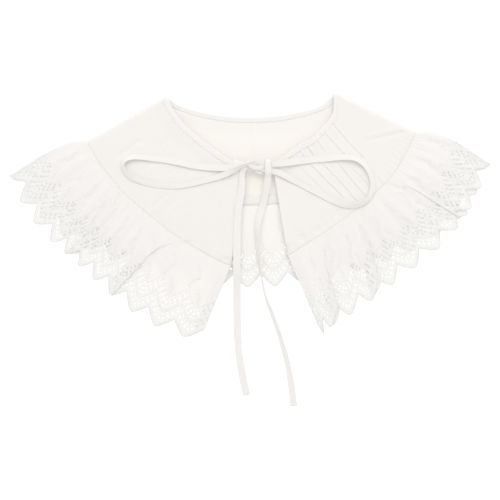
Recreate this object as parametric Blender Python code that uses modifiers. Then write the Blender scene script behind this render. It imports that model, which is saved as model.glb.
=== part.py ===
"""A cape collar of woven cotton with a gathered eyelet lace ruffle, lying folded flat at both shoulders.

The neck edge is bound with a narrow tape, which is tied in a bow at the front. The back panel lies on the
surface and the two front leaves lie over it. The origin is under the middle of the back panel, +Y points to
the neck and +Z is up. Units are metres.
"""

import math
from collections import namedtuple

import bmesh
import bpy
import numpy as np

# Driving dimensions
NECK_WIDTH = 0.1767  # between the two shoulder folds at the neck
FRONT_NECK_DROP = 0.0767  # from the shoulder folds down to the front corners of the neckline
BACK_NECK_DROP = 0.0248  # from the shoulder folds down to the middle of the back neckline
CLOTH_DEPTH = 0.0960  # neck edge to lace seam
LACE_DEPTH = 0.0880  # lace seam to the scallop tips
SCALLOP_DEPTH = 0.0122  # scallop tip to the notch between two scallops
CLOTH_WALL = 0.0012
LACE_WALL = 0.0010
LAYER_RISE = 0.0048  # from the back panel's middle plane up to the front leaves'
RUFFLE_RISE = 0.0065  # height of the highest lace fold
EYELET_MARGIN = 0.0011  # lace left between an eyelet and the edge of its cell
BINDING_WIDTH = 0.0058
BINDING_WALL = 0.0008
TAPE_WIDTH = 0.0078
TAPE_WALL = 0.0010
KNOT_WIDTH = 0.0125
KNOT_HEIGHT = 0.0080
GAP = 0.0003  # clearance between neighbouring pieces

# Counts
LEAF_SCALLOPS = 10.5
BACK_SCALLOPS = 20
FOLD_STEPS = 4  # columns round each half turn at a shoulder
CLOTH_ROWS = 5
KNOT_SIDES = 12
TAPE_STEP = 0.0080  # between two sections of a tape

# One row for each section of the collar, walked from a shoulder fold. walk counts scallops. neck_out is a
# share of half NECK_WIDTH and neck_down of that part's neck drop. The turns are degrees below the
# horizontal, pointing away from the middle. The other shares are of CLOTH_DEPTH and LACE_DEPTH.
Section = namedtuple("Section", "walk neck_out neck_down cloth_turn cloth_share lace_turn lace_share")

LEFT_LEAF = (
    Section(0.0, 1.000, 0.026, 29.3, 1.00, 24.2, 1.02),
    Section(1.5, 0.935, 0.195, 36.1, 1.00, 34.9, 1.05),
    Section(3.0, 0.840, 0.359, 41.4, 0.99, 45.0, 1.04),
    Section(4.5, 0.745, 0.477, 47.4, 1.00, 49.4, 1.00),
    Section(7.0, 0.400, 0.797, 47.2, 1.01, 59.5, 1.04),
    Section(9.0, 0.222, 0.921, 64.8, 1.03, 65.2, 1.05),
    Section(10.5, 0.061, 1.000, 81.8, 1.10, 67.5, 0.97),
)
RIGHT_LEAF = (
    Section(0.0, 1.000, -0.026, 26.1, 0.99, 23.0, 0.97),
    Section(1.5, 0.985, 0.140, 35.0, 0.96, 30.8, 1.00),
    Section(3.6, 0.955, 0.318, 51.8, 0.94, 41.9, 1.01),
    Section(5.7, 0.735, 0.605, 53.5, 0.91, 63.1, 1.00),
    Section(7.7, 0.586, 0.701, 62.5, 0.95, 78.7, 1.08),
    Section(9.2, 0.432, 0.825, 74.0, 0.99, 79.2, 1.07),
    Section(10.5, 0.260, 0.975, 80.6, 1.01, 66.8, 1.04),
)
BACK_HALF = (
    Section(2.5, 0.840, 0.496, 37.1, 0.99, 50.4, 1.06),
    Section(5.0, 0.566, 0.792, 53.5, 0.97, 64.0, 1.03),
    Section(7.5, 0.281, 0.953, 71.3, 0.96, 77.3, 0.98),
    Section(10.0, 0.000, 1.000, 90.0, 0.96, 90.0, 0.98),
)

# One row for each fold of the lace. walk and spread count scallops and rise is a share of RUFFLE_RISE.
Fold = namedtuple("Fold", "walk rise spread")

LEFT_FOLDS = (
    Fold(1.3, 0.45, 0.50),
    Fold(2.5, 0.55, 0.45),
    Fold(3.8, 1.00, 0.50),
    Fold(5.2, 0.50, 0.50),
    Fold(6.8, 1.00, 0.50),
    Fold(8.2, 0.60, 0.45),
    Fold(9.4, 0.90, 0.45),
)
RIGHT_FOLDS = (
    Fold(1.2, 0.50, 0.50),
    Fold(2.9, 1.00, 0.50),
    Fold(4.5, 0.50, 0.55),
    Fold(6.2, 1.00, 0.50),
    Fold(7.4, 0.60, 0.40),
    Fold(8.6, 1.00, 0.40),
    Fold(9.8, 0.70, 0.40),
)
BACK_FOLDS = tuple(Fold(walk, 0.22, 0.50) for walk in (2.0, 4.0, 6.0, 8.0, 10.0, 12.0, 14.0, 16.0, 18.0))

# Where each scallop has a column of the lace, as shares of its width, and how far out its edge is there.
SCALLOP_COLUMNS = (0.0, 0.21, 0.42, 0.58, 0.79)
SCALLOP_EDGE = (0.0, 0.50, 0.93, 0.93, 0.50)
# Rows of the lace from seam to edge, as shares of its depth, and how much of the scallop each row follows.
LACE_ROWS = (0.0, 0.35, 0.64, 0.81, 0.92, 1.0)
LACE_FOLLOW = (0.0, 0.0, 0.25, 0.60, 0.88, 1.0)
# The eyelets of one scallop, as cells (column, row) of its own grid.
EYELET_CELLS = ((2, 3), (1, 2), (3, 2))

# One row for each section of the knot, walked from left to right. along is a share of its length, back and
# rise move the section's middle by shares of KNOT_WIDTH and KNOT_HEIGHT, and wide and high are its own size.
KnotSection = namedtuple("KnotSection", "along back rise wide high")

KNOT_SECTIONS = (
    KnotSection(0.00, 0.02, 0.26, 0.70, 0.74),
    KnotSection(0.10, 0.00, 0.22, 0.96, 0.94),
    KnotSection(0.26, -0.02, 0.10, 1.00, 1.00),
    KnotSection(0.42, 0.06, 0.02, 0.72, 0.84),
    KnotSection(0.58, 0.10, 0.04, 0.70, 0.84),
    KnotSection(0.74, 0.04, 0.14, 0.90, 1.00),
    KnotSection(0.90, 0.02, 0.20, 0.92, 0.94),
    KnotSection(1.00, 0.00, 0.28, 0.66, 0.72),
)

# The routes of the tapes, point by point. under is the height of the tape's lower edge, and tilt turns it
# about its own length, in degrees, with its inner edge up on a loop.
TapePoint = namedtuple("TapePoint", "x y under tilt")

LEFT_LOOP = (
    TapePoint(-0.0058, -0.0050, 0.0098, 6),
    TapePoint(-0.0154, -0.0059, 0.0094, 12),
    TapePoint(-0.0259, -0.0073, 0.0086, 18),
    TapePoint(-0.0374, -0.0071, 0.0072, 24),
    TapePoint(-0.0490, -0.0065, 0.0065, 28),
    TapePoint(-0.0605, -0.0048, 0.0063, 30),
    TapePoint(-0.0742, -0.0017, 0.0063, 30),
    TapePoint(-0.0878, 0.0006, 0.0063, 30),
    TapePoint(-0.1015, 0.0025, 0.0063, 34),
    TapePoint(-0.1141, 0.0038, 0.0063, 44),
    TapePoint(-0.1246, 0.0036, 0.0063, 56),
    TapePoint(-0.1317, 0.0006, 0.0063, 66),
    TapePoint(-0.1345, -0.0046, 0.0063, 70),
    TapePoint(-0.1324, -0.0105, 0.0063, 66),
    TapePoint(-0.1263, -0.0164, 0.0063, 52),
    TapePoint(-0.1172, -0.0206, 0.0063, 38),
    TapePoint(-0.1046, -0.0241, 0.0063, 26),
    TapePoint(-0.0899, -0.0262, 0.0063, 16),
    TapePoint(-0.0752, -0.0261, 0.0063, 10),
    TapePoint(-0.0616, -0.0238, 0.0063, 6),
    TapePoint(-0.0479, -0.0204, 0.0063, 3),
    TapePoint(-0.0343, -0.0164, 0.0068, 0),
    TapePoint(-0.0227, -0.0126, 0.0080, 0),
    TapePoint(-0.0133, -0.0102, 0.0086, 0),
    TapePoint(-0.0058, -0.0092, 0.0086, 0),
)
RIGHT_LOOP = (
    TapePoint(0.0236, -0.0038, 0.0099, 0),
    TapePoint(0.0310, -0.0031, 0.0097, -4),
    TapePoint(0.0403, -0.0018, 0.0090, -8),
    TapePoint(0.0508, -0.0002, 0.0078, -12),
    TapePoint(0.0634, 0.0013, 0.0066, -18),
    TapePoint(0.0760, 0.0023, 0.0063, -26),
    TapePoint(0.0886, 0.0034, 0.0063, -38),
    TapePoint(0.1001, 0.0038, 0.0063, -52),
    TapePoint(0.1096, 0.0020, 0.0063, -58),
    TapePoint(0.1169, -0.0020, 0.0063, -54),
    TapePoint(0.1226, -0.0080, 0.0063, -48),
    TapePoint(0.1262, -0.0158, 0.0063, -46),
    TapePoint(0.1280, -0.0241, 0.0063, -46),
    TapePoint(0.1268, -0.0330, 0.0063, -48),
    TapePoint(0.1226, -0.0405, 0.0063, -54),
    TapePoint(0.1152, -0.0454, 0.0063, -58),
    TapePoint(0.1061, -0.0472, 0.0063, -54),
    TapePoint(0.0965, -0.0456, 0.0063, -40),
    TapePoint(0.0844, -0.0408, 0.0063, -24),
    TapePoint(0.0707, -0.0336, 0.0063, -14),
    TapePoint(0.0571, -0.0267, 0.0063, -8),
    TapePoint(0.0455, -0.0205, 0.0068, -4),
    TapePoint(0.0350, -0.0146, 0.0080, 0),
    TapePoint(0.0290, -0.0114, 0.0086, 0),
    TapePoint(0.0236, -0.0090, 0.0086, 0),
)
LEFT_TAIL = (
    TapePoint(-0.0089, -0.0141, 0.0077, 0),
    TapePoint(-0.0089, -0.0221, 0.0072, 0),
    TapePoint(-0.0099, -0.0325, 0.0065, 0),
    TapePoint(-0.0118, -0.0441, 0.0063, 0),
    TapePoint(-0.0135, -0.0567, 0.0063, 0),
    TapePoint(-0.0142, -0.0725, 0.0063, 0),
    TapePoint(-0.0144, -0.0882, 0.0063, 0),
    TapePoint(-0.0144, -0.1018, 0.0063, 0),
    TapePoint(-0.0144, -0.1123, 0.0058, 0),
    TapePoint(-0.0144, -0.1228, 0.0042, 0),
    TapePoint(-0.0144, -0.1333, 0.0020, 0),
    TapePoint(-0.0144, -0.1428, 0.0006, 0),
    TapePoint(-0.0144, -0.1543, 0.0002, 0),
    TapePoint(-0.0142, -0.1690, 0.0002, 0),
    TapePoint(-0.0137, -0.1837, 0.0002, 0),
    TapePoint(-0.0127, -0.1984, 0.0002, 0),
    TapePoint(-0.0110, -0.2121, 0.0002, 0),
    TapePoint(-0.0085, -0.2268, 0.0002, 0),
    TapePoint(-0.0047, -0.2442, 0.0002, 0),
)
RIGHT_TAIL = (
    TapePoint(0.0182, 0.0004, 0.0124, 0),
    TapePoint(0.0183, -0.0052, 0.0124, 0),
    TapePoint(0.0184, -0.0120, 0.0119, 0),
    TapePoint(0.0182, -0.0178, 0.0086, 0),
    TapePoint(0.0174, -0.0252, 0.0046, 0),
    TapePoint(0.0158, -0.0347, 0.0022, 0),
    TapePoint(0.0134, -0.0441, 0.0016, 0),
    TapePoint(0.0107, -0.0535, 0.0015, 5),
    TapePoint(0.0081, -0.0630, 0.0015, 20),
    TapePoint(0.0069, -0.0714, 0.0016, 34),
    TapePoint(0.0071, -0.0808, 0.0018, 42),
    TapePoint(0.0079, -0.0914, 0.0022, 48),
    TapePoint(0.0088, -0.1018, 0.0026, 54),
    TapePoint(0.0098, -0.1113, 0.0028, 66),
    TapePoint(0.0113, -0.1207, 0.0028, 80),
    TapePoint(0.0132, -0.1313, 0.0020, 82),
    TapePoint(0.0154, -0.1417, 0.0008, 76),
    TapePoint(0.0184, -0.1501, 0.0003, 72),
    TapePoint(0.0218, -0.1575, 0.0002, 70),
    TapePoint(0.0258, -0.1680, 0.0002, 67),
    TapePoint(0.0300, -0.1795, 0.0002, 64),
    TapePoint(0.0340, -0.1921, 0.0002, 61),
    TapePoint(0.0375, -0.2047, 0.0002, 57),
    TapePoint(0.0407, -0.2194, 0.0002, 50),
    TapePoint(0.0436, -0.2383, 0.0002, 42),
    TapePoint(0.0457, -0.2579, 0.0002, 34),
)

Finish = namedtuple("Finish", "name colour roughness")
COTTON = Finish("white_cotton", (0.905, 0.880, 0.850), 0.92)
LACE = Finish("white_lace", (0.925, 0.915, 0.900), 0.88)
TAPE = Finish("white_tape", (0.900, 0.875, 0.845), 0.90)


def smooth_through(at, knots, rows):
    """The value at one place on a smooth curve that passes through the rows, which sit at the knots."""
    knots = np.asarray(knots, float)
    rows = np.asarray(rows, float)
    slopes = np.gradient(rows, knots, axis=0)
    i = int(np.clip(np.searchsorted(knots, at) - 1, 0, len(knots) - 2))
    width = knots[i + 1] - knots[i]
    t = (at - knots[i]) / width
    start = (1 + 2 * t) * (1 - t) ** 2 * rows[i] + t * (1 - t) ** 2 * width * slopes[i]
    end = t * t * (3 - 2 * t) * rows[i + 1] + t * t * (t - 1) * width * slopes[i + 1]
    return start + end


def ease(t):
    """0 up to 0, 1 from 1, and a smooth rise between."""
    t = min(max(t, 0.0), 1.0)
    return t * t * (3 - 2 * t)


BACK_NECK_Y = 0.5 * BACK_HALF[-1].cloth_share * CLOTH_DEPTH
SHOULDER_Y = BACK_NECK_Y + BACK_NECK_DROP


FOLD_RADIUS = LAYER_RISE / 2
SHOULDER_INSET = FOLD_RADIUS + CLOTH_WALL / 2  # from the outside of a shoulder fold in to its middle line


def measured(section, side, drop):
    """A section's row in metres and radians: neck x and y, cloth heading and length, lace heading and length."""
    headings = [
        math.radians(-turn if side > 0 else turn - 180)
        for turn in (section.cloth_turn, section.lace_turn)
    ]
    inset = SHOULDER_INSET if section.walk == 0 else 0.0
    return (
        side * (section.neck_out * NECK_WIDTH / 2 - inset * abs(math.sin(headings[0]))),
        SHOULDER_Y - section.neck_down * drop - inset * abs(math.cos(headings[0])),
        headings[0],
        section.cloth_share * CLOTH_DEPTH,
        headings[1],
        section.lace_share * LACE_DEPTH,
    )


def collar_rows():
    """(knots, rows) of the left leaf, the back and the right leaf, each walked from left to right in scallops."""
    left = [(LEAF_SCALLOPS - s.walk, measured(s, -1, FRONT_NECK_DROP)) for s in reversed(LEFT_LEAF)]
    right = [(s.walk, measured(s, 1, FRONT_NECK_DROP)) for s in RIGHT_LEAF]
    back = [(0.0, measured(LEFT_LEAF[0], -1, FRONT_NECK_DROP))]
    back += [(s.walk, measured(s, -1, BACK_NECK_DROP)) for s in BACK_HALF]
    back += [(BACK_SCALLOPS - s.walk, measured(s, 1, BACK_NECK_DROP)) for s in reversed(BACK_HALF[:-1])]
    back += [(float(BACK_SCALLOPS), measured(RIGHT_LEAF[0], 1, FRONT_NECK_DROP))]
    return [tuple(zip(*part)) for part in (left, back, right)]


ROWS = collar_rows()
LEFT_SHOULDER = LEAF_SCALLOPS
RIGHT_SHOULDER = LEAF_SCALLOPS + BACK_SCALLOPS
WHOLE_WALK = RIGHT_SHOULDER + LEAF_SCALLOPS
BINDING_REACH = CLOTH_WALL / 2 + GAP + BINDING_WALL  # from the cloth's middle plane to the tape's outside
NECK_LIFT = BINDING_WALL + GAP
NECK_EASE = 0.0150  # length over which the cloth comes down from the binding


class Column:
    """One line across the collar from the neck edge through the seam to the lace edge.

    walk counts scallops from the left front edge. angle is where the line is round a shoulder's half turn:
    a quarter turn on the front leaves, minus a quarter turn on the back panel, and between them on a fold.
    """

    def __init__(self, walk, angle=None):
        self.walk = walk
        self.part = (walk >= LEFT_SHOULDER) + (walk > RIGHT_SHOULDER)
        quarter = math.pi / 2
        self.angle = (quarter, -quarter, quarter)[self.part] if angle is None else angle
        self.local = walk - (0.0, LEFT_SHOULDER, RIGHT_SHOULDER)[self.part]
        row = smooth_through(self.local, *ROWS[self.part])
        self.neck = row[:2]
        self.cloth_way = np.array([math.cos(row[2]), math.sin(row[2])])
        self.cloth_length = row[3]
        self.lace_way = np.array([math.cos(row[4]), math.sin(row[4])])
        self.lace_length = row[5]
        side = -1 if walk < WHOLE_WALK / 2 else 1
        self.away = side * np.array([-self.cloth_way[1], self.cloth_way[0]])

    def normal(self):
        """The way the right side of the cloth faces."""
        flat = math.cos(self.angle) * self.away
        return np.array([flat[0], flat[1], math.sin(self.angle)])

    def cloth_point(self, run, off=0.0):
        """A point of the cloth: run metres from the neck edge, off metres out from its middle plane."""
        flat = self.neck + self.cloth_way * run
        lift = NECK_LIFT * (1 - ease((run - BINDING_WIDTH) / NECK_EASE))
        middle = np.array([flat[0], flat[1], CLOTH_WALL / 2 + FOLD_RADIUS + lift])
        return middle + (FOLD_RADIUS + off) * self.normal()

    def wave(self):
        """How high the lace's folds are on this line, as a share of RUFFLE_RISE."""
        folds = (LEFT_FOLDS, BACK_FOLDS, RIGHT_FOLDS)[self.part]
        at = LEAF_SCALLOPS - self.local if self.part == 0 else self.local
        return sum(f.rise * math.exp(-(((at - f.walk) / f.spread) ** 2)) for f in folds)

    def lace_point(self, share, edge):
        """A point of the lace: share of the way from seam to edge, edge metres back from the scallop tips."""
        seam = self.neck + self.cloth_way * (self.cloth_length + GAP)
        flat = seam + self.lace_way * (share * self.lace_length - edge)
        rise = RUFFLE_RISE * self.wave() * ease(share) * math.sin(self.angle) ** 2
        middle = np.array([flat[0], flat[1], LACE_WALL / 2 + FOLD_RADIUS + rise])
        return middle + FOLD_RADIUS * self.normal()


def columns(shares):
    """The collar's columns from the left front edge to the right: shares of each scallop, and the folds."""
    walks = sorted({round(k + s, 6) for k in range(-1, int(WHOLE_WALK) + 1) for s in shares})
    starts = {0.0, LEFT_SHOULDER, RIGHT_SHOULDER, WHOLE_WALK}
    walks = [w for w in walks if 0 < w < WHOLE_WALK and min(abs(w - s) for s in starts) > 0.1]
    made = []
    for start, stop in ((0.0, LEFT_SHOULDER), (LEFT_SHOULDER, RIGHT_SHOULDER), (RIGHT_SHOULDER, WHOLE_WALK)):
        if start > 0:
            turn = 1 if start == LEFT_SHOULDER else -1
            for step in range(FOLD_STEPS + 1):
                made.append(Column(start, turn * math.pi * (0.5 - step / FOLD_STEPS)))
        else:
            made.append(Column(start))
        made += [Column(w) for w in walks if start < w < stop]
    made.append(Column(WHOLE_WALK))
    return made


def linked(name, data, collection):
    obj = bpy.data.objects.new(name, data)
    collection.objects.link(obj)
    return obj


def finished(obj, finish, smooth=True):
    """Gives the object its material, and smooth shading where it is round."""
    material = bpy.data.materials.get(finish.name) or bpy.data.materials.new(finish.name)
    material.use_nodes = True
    shader = material.node_tree.nodes["Principled BSDF"]
    shader.inputs["Base Color"].default_value = (*finish.colour, 1)
    shader.inputs["Roughness"].default_value = finish.roughness
    shader.inputs["Metallic"].default_value = 0.0
    obj.data.materials.append(material)
    if smooth and obj.type == "MESH":
        obj.data.shade_smooth()
        obj.data.set_sharp_from_angle(angle=math.radians(50))
    return obj


def sheet(name, points, holes, wall, collection):
    """A thin sheet: a grid moved to points[column][row], with an eyelet in each cell of holes, given its wall."""
    across, along = len(points) - 1, len(points[0]) - 1
    bm = bmesh.new()
    bmesh.ops.create_grid(bm, x_segments=across, y_segments=along, size=1)
    place = {v: (round((v.co.x + 1) / 2 * across), round((v.co.y + 1) / 2 * along)) for v in bm.verts}
    cells = {min(place[v] for v in face.verts): face for face in bm.faces}
    for v, (i, j) in place.items():
        v.co = points[i][j]
    pierced = [cells[cell] for cell in sorted(holes)]
    if pierced:
        bmesh.ops.inset_individual(bm, faces=pierced, thickness=EYELET_MARGIN, use_even_offset=True)
        bmesh.ops.delete(bm, geom=pierced, context="FACES_ONLY")
    mesh = bpy.data.meshes.new(name)
    bm.to_mesh(mesh)
    bm.free()
    obj = linked(name, mesh, collection)
    solid = obj.modifiers.new("wall", "SOLIDIFY")
    solid.thickness = wall
    solid.offset = 0
    solid.use_quality_normals = True
    return obj


def loft(name, rings, collection):
    """A closed solid through rings of points, each ring joined to the next and the two ends capped."""
    bm = bmesh.new()
    loops = [[bm.verts.new(point) for point in ring] for ring in rings]
    count = len(loops[0])
    for near, far in zip(loops, loops[1:]):
        for k in range(count):
            bm.faces.new((near[k], near[(k + 1) % count], far[(k + 1) % count], far[k]))
    bm.faces.new(reversed(loops[0]))
    bm.faces.new(loops[-1])
    bmesh.ops.recalc_face_normals(bm, faces=bm.faces)
    mesh = bpy.data.meshes.new(name)
    bm.to_mesh(mesh)
    bm.free()
    return linked(name, mesh, collection)


def collar_body(collection):
    start = BINDING_WALL + GAP
    points = []
    for column in columns((0.0, 0.5)):
        length = column.cloth_length - start
        points.append([column.cloth_point(start + length * row / CLOTH_ROWS) for row in range(CLOTH_ROWS + 1)])
    return finished(sheet("collar_body", points, (), CLOTH_WALL, collection), COTTON)


def scallop_edge(walk):
    """How far the lace's edge is from the scallop tips on this line, in metres."""
    within = walk % 1.0
    at = (*SCALLOP_COLUMNS, 1.0)
    return SCALLOP_DEPTH * (1 - np.interp(within, at, (*SCALLOP_EDGE, SCALLOP_EDGE[0])))


def lace_ruffle(collection):
    lines = columns(SCALLOP_COLUMNS)
    points = []
    for column in lines:
        back = scallop_edge(column.walk)
        rows = zip(LACE_ROWS, LACE_FOLLOW)
        points.append([column.lace_point(share, follow * back) for share, follow in rows])
    holes = set()
    for i, (near, far) in enumerate(zip(lines, lines[1:])):
        whole = abs(far.walk - near.walk) > 0.1 and near.part == far.part
        within = round(near.walk % 1.0, 6)
        for cell, row in EYELET_CELLS:
            if whole and within == SCALLOP_COLUMNS[cell]:
                holes.add((i, row))
    return finished(sheet("lace_ruffle", points, holes, LACE_WALL, collection), LACE)


def binding_ring(column):
    """The folded tape's section: a U over the cloth's edge."""
    out, wall, width = BINDING_REACH, BINDING_WALL, BINDING_WIDTH
    outline = (
        (0.0, -out), (0.0, out), (width, out), (width, out - wall),
        (wall, out - wall), (wall, wall - out), (width, wall - out), (width, -out),
    )
    return [column.cloth_point(run, off) for run, off in outline]


def neck_binding(collection):
    rings = [binding_ring(column) for column in columns((0.0, 0.5))]
    return finished(loft("neck_binding", rings, collection), TAPE)


def tie_knot(collection):
    """The knot: one soft lump between the two ends of the binding, pinched where the tapes cross."""
    left, right = Column(0.0), Column(WHOLE_WALK)
    ends = [column.cloth_point(BINDING_WIDTH / 2) for column in (left, right)]
    way = (ends[1] - ends[0]) / np.linalg.norm(ends[1] - ends[0])
    start, stop = ends[0] + way * (GAP + BINDING_WALL), ends[1] - way * (GAP + BINDING_WALL)
    across = np.array([-way[1], way[0], 0.0])
    rings = []
    for section in KNOT_SECTIONS:
        middle = start + (stop - start) * section.along + across * section.back * KNOT_WIDTH
        middle[2] += section.rise * KNOT_HEIGHT
        ring = []
        for k in range(KNOT_SIDES):
            turn = 2 * math.pi * k / KNOT_SIDES
            side = across * math.cos(turn) * section.wide * KNOT_WIDTH / 2
            ring.append(middle + side + np.array([0, 0, math.sin(turn) * section.high * KNOT_HEIGHT / 2]))
        rings.append(ring)
    return finished(loft("tie_knot", rings, collection), TAPE)


def tape_profile(guides):
    """The tapes' flat section, which the curves are swept with."""
    curve = bpy.data.curves.new("tape_section", "CURVE")
    curve.dimensions = "2D"
    spline = curve.splines.new("POLY")
    spline.points.add(3)
    corners = ((-1, -1), (-1, 1), (1, 1), (1, -1))
    for point, (x, y) in zip(spline.points, corners):
        point.co = (x * TAPE_WIDTH / 2, y * TAPE_WALL / 2, 0, 1)
    spline.use_cyclic_u = True
    section = linked("tape_section", curve, guides)
    section.hide_render = True
    section.display_type = "WIRE"
    return section


def tape(name, route, section, collection):
    """One stretch of the tie: a flat tape swept along a smooth curve through its route's points."""
    rows = np.array([(point.x, point.y, point.under, math.radians(point.tilt)) for point in route])
    steps = np.linalg.norm(np.diff(rows[:, :3], axis=0), axis=1)
    knots = np.concatenate([[0.0], np.cumsum(steps)])
    count = round(knots[-1] / TAPE_STEP) + 1
    curve = bpy.data.curves.new(name, "CURVE")
    curve.dimensions = "3D"
    curve.twist_mode = "Z_UP"
    curve.bevel_mode = "OBJECT"
    curve.bevel_object = section
    curve.use_fill_caps = True
    spline = curve.splines.new("POLY")
    spline.points.add(count - 1)
    for point, at in zip(spline.points, np.linspace(0.0, knots[-1], count)):
        x, y, under, turn = smooth_through(at, knots, rows)
        half_height = (TAPE_WIDTH * abs(math.sin(turn)) + TAPE_WALL * math.cos(turn)) / 2
        point.co = (x, y, under + half_height, 1)
        point.tilt = turn
    return finished(linked(name, curve, collection), TAPE)


def main():
    for obj in list(bpy.data.objects):
        bpy.data.objects.remove(obj, do_unlink=True)
    collection = bpy.data.collections.new("cotton_collar")
    guides = bpy.data.collections.new("guides")
    bpy.context.scene.collection.children.link(collection)
    bpy.context.scene.collection.children.link(guides)
    collar_body(collection)
    lace_ruffle(collection)
    neck_binding(collection)
    tie_knot(collection)
    section = tape_profile(guides)
    tape("tie_loop_left", LEFT_LOOP, section, collection)
    tape("tie_loop_right", RIGHT_LOOP, section, collection)
    tape("tie_tail_left", LEFT_TAIL, section, collection)
    tape("tie_tail_right", RIGHT_TAIL, section, collection)


main()
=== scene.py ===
# %% [markdown]
# # Cotton cape collar with an eyelet lace ruffle
#
# The collar lies flat with both shoulders folded, so the back panel is under the two front leaves. A narrow
# cotton tape binds the neck and is tied in a bow at the front. Every cell adds one kind of piece and prints
# what it made.

import math

import bmesh
import bpy
import numpy as np
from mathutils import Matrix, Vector
from mathutils.geometry import delaunay_2d_cdt


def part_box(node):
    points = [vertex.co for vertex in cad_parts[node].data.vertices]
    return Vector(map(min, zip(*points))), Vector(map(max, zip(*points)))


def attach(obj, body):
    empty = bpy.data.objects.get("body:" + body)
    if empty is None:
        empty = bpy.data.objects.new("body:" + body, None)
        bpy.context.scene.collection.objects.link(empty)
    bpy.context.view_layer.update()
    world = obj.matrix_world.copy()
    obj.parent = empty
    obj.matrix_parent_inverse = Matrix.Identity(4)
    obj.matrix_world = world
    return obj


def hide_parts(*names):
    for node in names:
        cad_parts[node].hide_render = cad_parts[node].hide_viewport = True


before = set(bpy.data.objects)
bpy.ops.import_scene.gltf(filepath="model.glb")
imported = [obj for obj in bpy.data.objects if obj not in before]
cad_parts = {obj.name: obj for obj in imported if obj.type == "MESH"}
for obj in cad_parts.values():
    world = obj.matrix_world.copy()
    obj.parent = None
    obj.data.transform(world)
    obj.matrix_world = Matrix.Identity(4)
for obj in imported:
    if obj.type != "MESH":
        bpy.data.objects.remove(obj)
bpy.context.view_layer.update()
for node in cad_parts:
    low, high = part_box(node)
    print(node, [round(1000 * v, 1) for v in (*low, *high)])

# %% [markdown]
# ## Camera
# The camera looks straight down on the collar, as in the photo. +Y is up in the picture.

# %% Camera
PICTURE_MIDDLE = (-0.0007, -0.0935)
VIEW_WIDTH = 0.525  # width of the picture at the collar's height
LENS = 85.0
SENSOR = 36.0
COLLAR_HEIGHT = 0.005


def linked(name, data):
    """A new object in the scene, around its data."""
    obj = bpy.data.objects.new(name, data)
    bpy.context.scene.collection.objects.link(obj)
    return obj


camera_data = bpy.data.cameras.new("camera")
camera_data.lens = LENS
camera_data.sensor_width = SENSOR
camera_data.clip_start = 0.01
camera = linked("camera", camera_data)
camera.location = (*PICTURE_MIDDLE, COLLAR_HEIGHT + VIEW_WIDTH * LENS / SENSOR)
bpy.context.scene.camera = camera
print("camera height", round(camera.location.z, 3))

# %% [markdown]
# ## Shared helpers
# A mesh is made from arrays, and every piece sits at the origin with its place in its vertices.


# %% Helpers
def made(name, points, faces, uvs):
    """A smooth mesh object from points, faces and, for each point, a place on the flat cloth."""
    mesh = bpy.data.meshes.new(name)
    mesh.from_pydata([tuple(p) for p in points], [], [tuple(f) for f in faces])
    layer = mesh.uv_layers.new(name="flat")
    corners = np.empty(len(mesh.loops), np.int32)
    mesh.loops.foreach_get("vertex_index", corners)
    layer.data.foreach_set("uv", np.asarray(uvs, np.float32)[corners].ravel())
    mesh.shade_smooth()
    return linked(name, mesh)


def triangles(obj):
    return sum(len(p.vertices) - 2 for p in obj.data.polygons)


def applied(obj):
    """Turns the evaluated shape into the object's own mesh and removes its modifiers."""
    graph = bpy.context.evaluated_depsgraph_get()
    mesh = bpy.data.meshes.new_from_object(obj.evaluated_get(graph), depsgraph=graph)
    obj.modifiers.clear()
    old = obj.data
    obj.data = mesh
    bpy.data.meshes.remove(old)
    return obj


def faced_out(obj):
    """Turns the faces outwards and keeps the mesh plain."""
    bm = bmesh.new()
    bm.from_mesh(obj.data)
    bmesh.ops.recalc_face_normals(bm, faces=bm.faces)
    bm.to_mesh(obj.data)
    bm.free()
    return obj


def solid(obj, wall):
    """Gives a sheet its thickness as plain mesh."""
    thick = obj.modifiers.new("wall", "SOLIDIFY")
    thick.thickness = wall
    thick.offset = 0
    thick.use_quality_normals = True
    return faced_out(applied(obj))


def tube_faces(rings, n):
    """Faces of a closed tube of so many rings, with n corners each."""
    faces = [
        (i * n + k, (i + 1) * n + k, (i + 1) * n + (k + 1) % n, i * n + (k + 1) % n)
        for i in range(rings - 1)
        for k in range(n)
    ]
    return [*faces, tuple(range(n)), tuple(reversed(range((rings - 1) * n, rings * n)))]


def grid_faces(across, rows, base=0):
    """Faces of a grid whose points run down each of its columns in turn, numbered from base."""
    return [
        (base + i * rows + j, base + (i + 1) * rows + j, base + (i + 1) * rows + j + 1, base + i * rows + j + 1)
        for i in range(across - 1)
        for j in range(rows - 1)
    ]


def normalised(rows):
    return rows / np.linalg.norm(rows, axis=1)[:, None]


def distances(points):
    """How far along the line each of its points is."""
    return np.concatenate([[0.0], np.cumsum(np.linalg.norm(np.diff(points, axis=0), axis=1))])


def ease(t):
    t = np.clip(t, 0.0, 1.0)
    return t * t * (3 - 2 * t)


def smooth_through(at, knots, rows):
    """The values at many places on a smooth curve that passes through the rows, which sit at the knots."""
    at = np.atleast_1d(np.asarray(at, float))
    knots = np.asarray(knots, float)
    rows = np.asarray(rows, float)
    slopes = np.gradient(rows, knots, axis=0)
    i = np.clip(np.searchsorted(knots, at) - 1, 0, len(knots) - 2)
    width = (knots[i + 1] - knots[i])[:, None]
    t = ((at - knots[i])[:, None]) / width
    start = (1 + 2 * t) * (1 - t) ** 2 * rows[i] + t * (1 - t) ** 2 * width * slopes[i]
    end = t * t * (3 - 2 * t) * rows[i + 1] + t * t * (t - 1) * width * slopes[i + 1]
    return start + end


ROUGH_WAVES = 9


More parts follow.
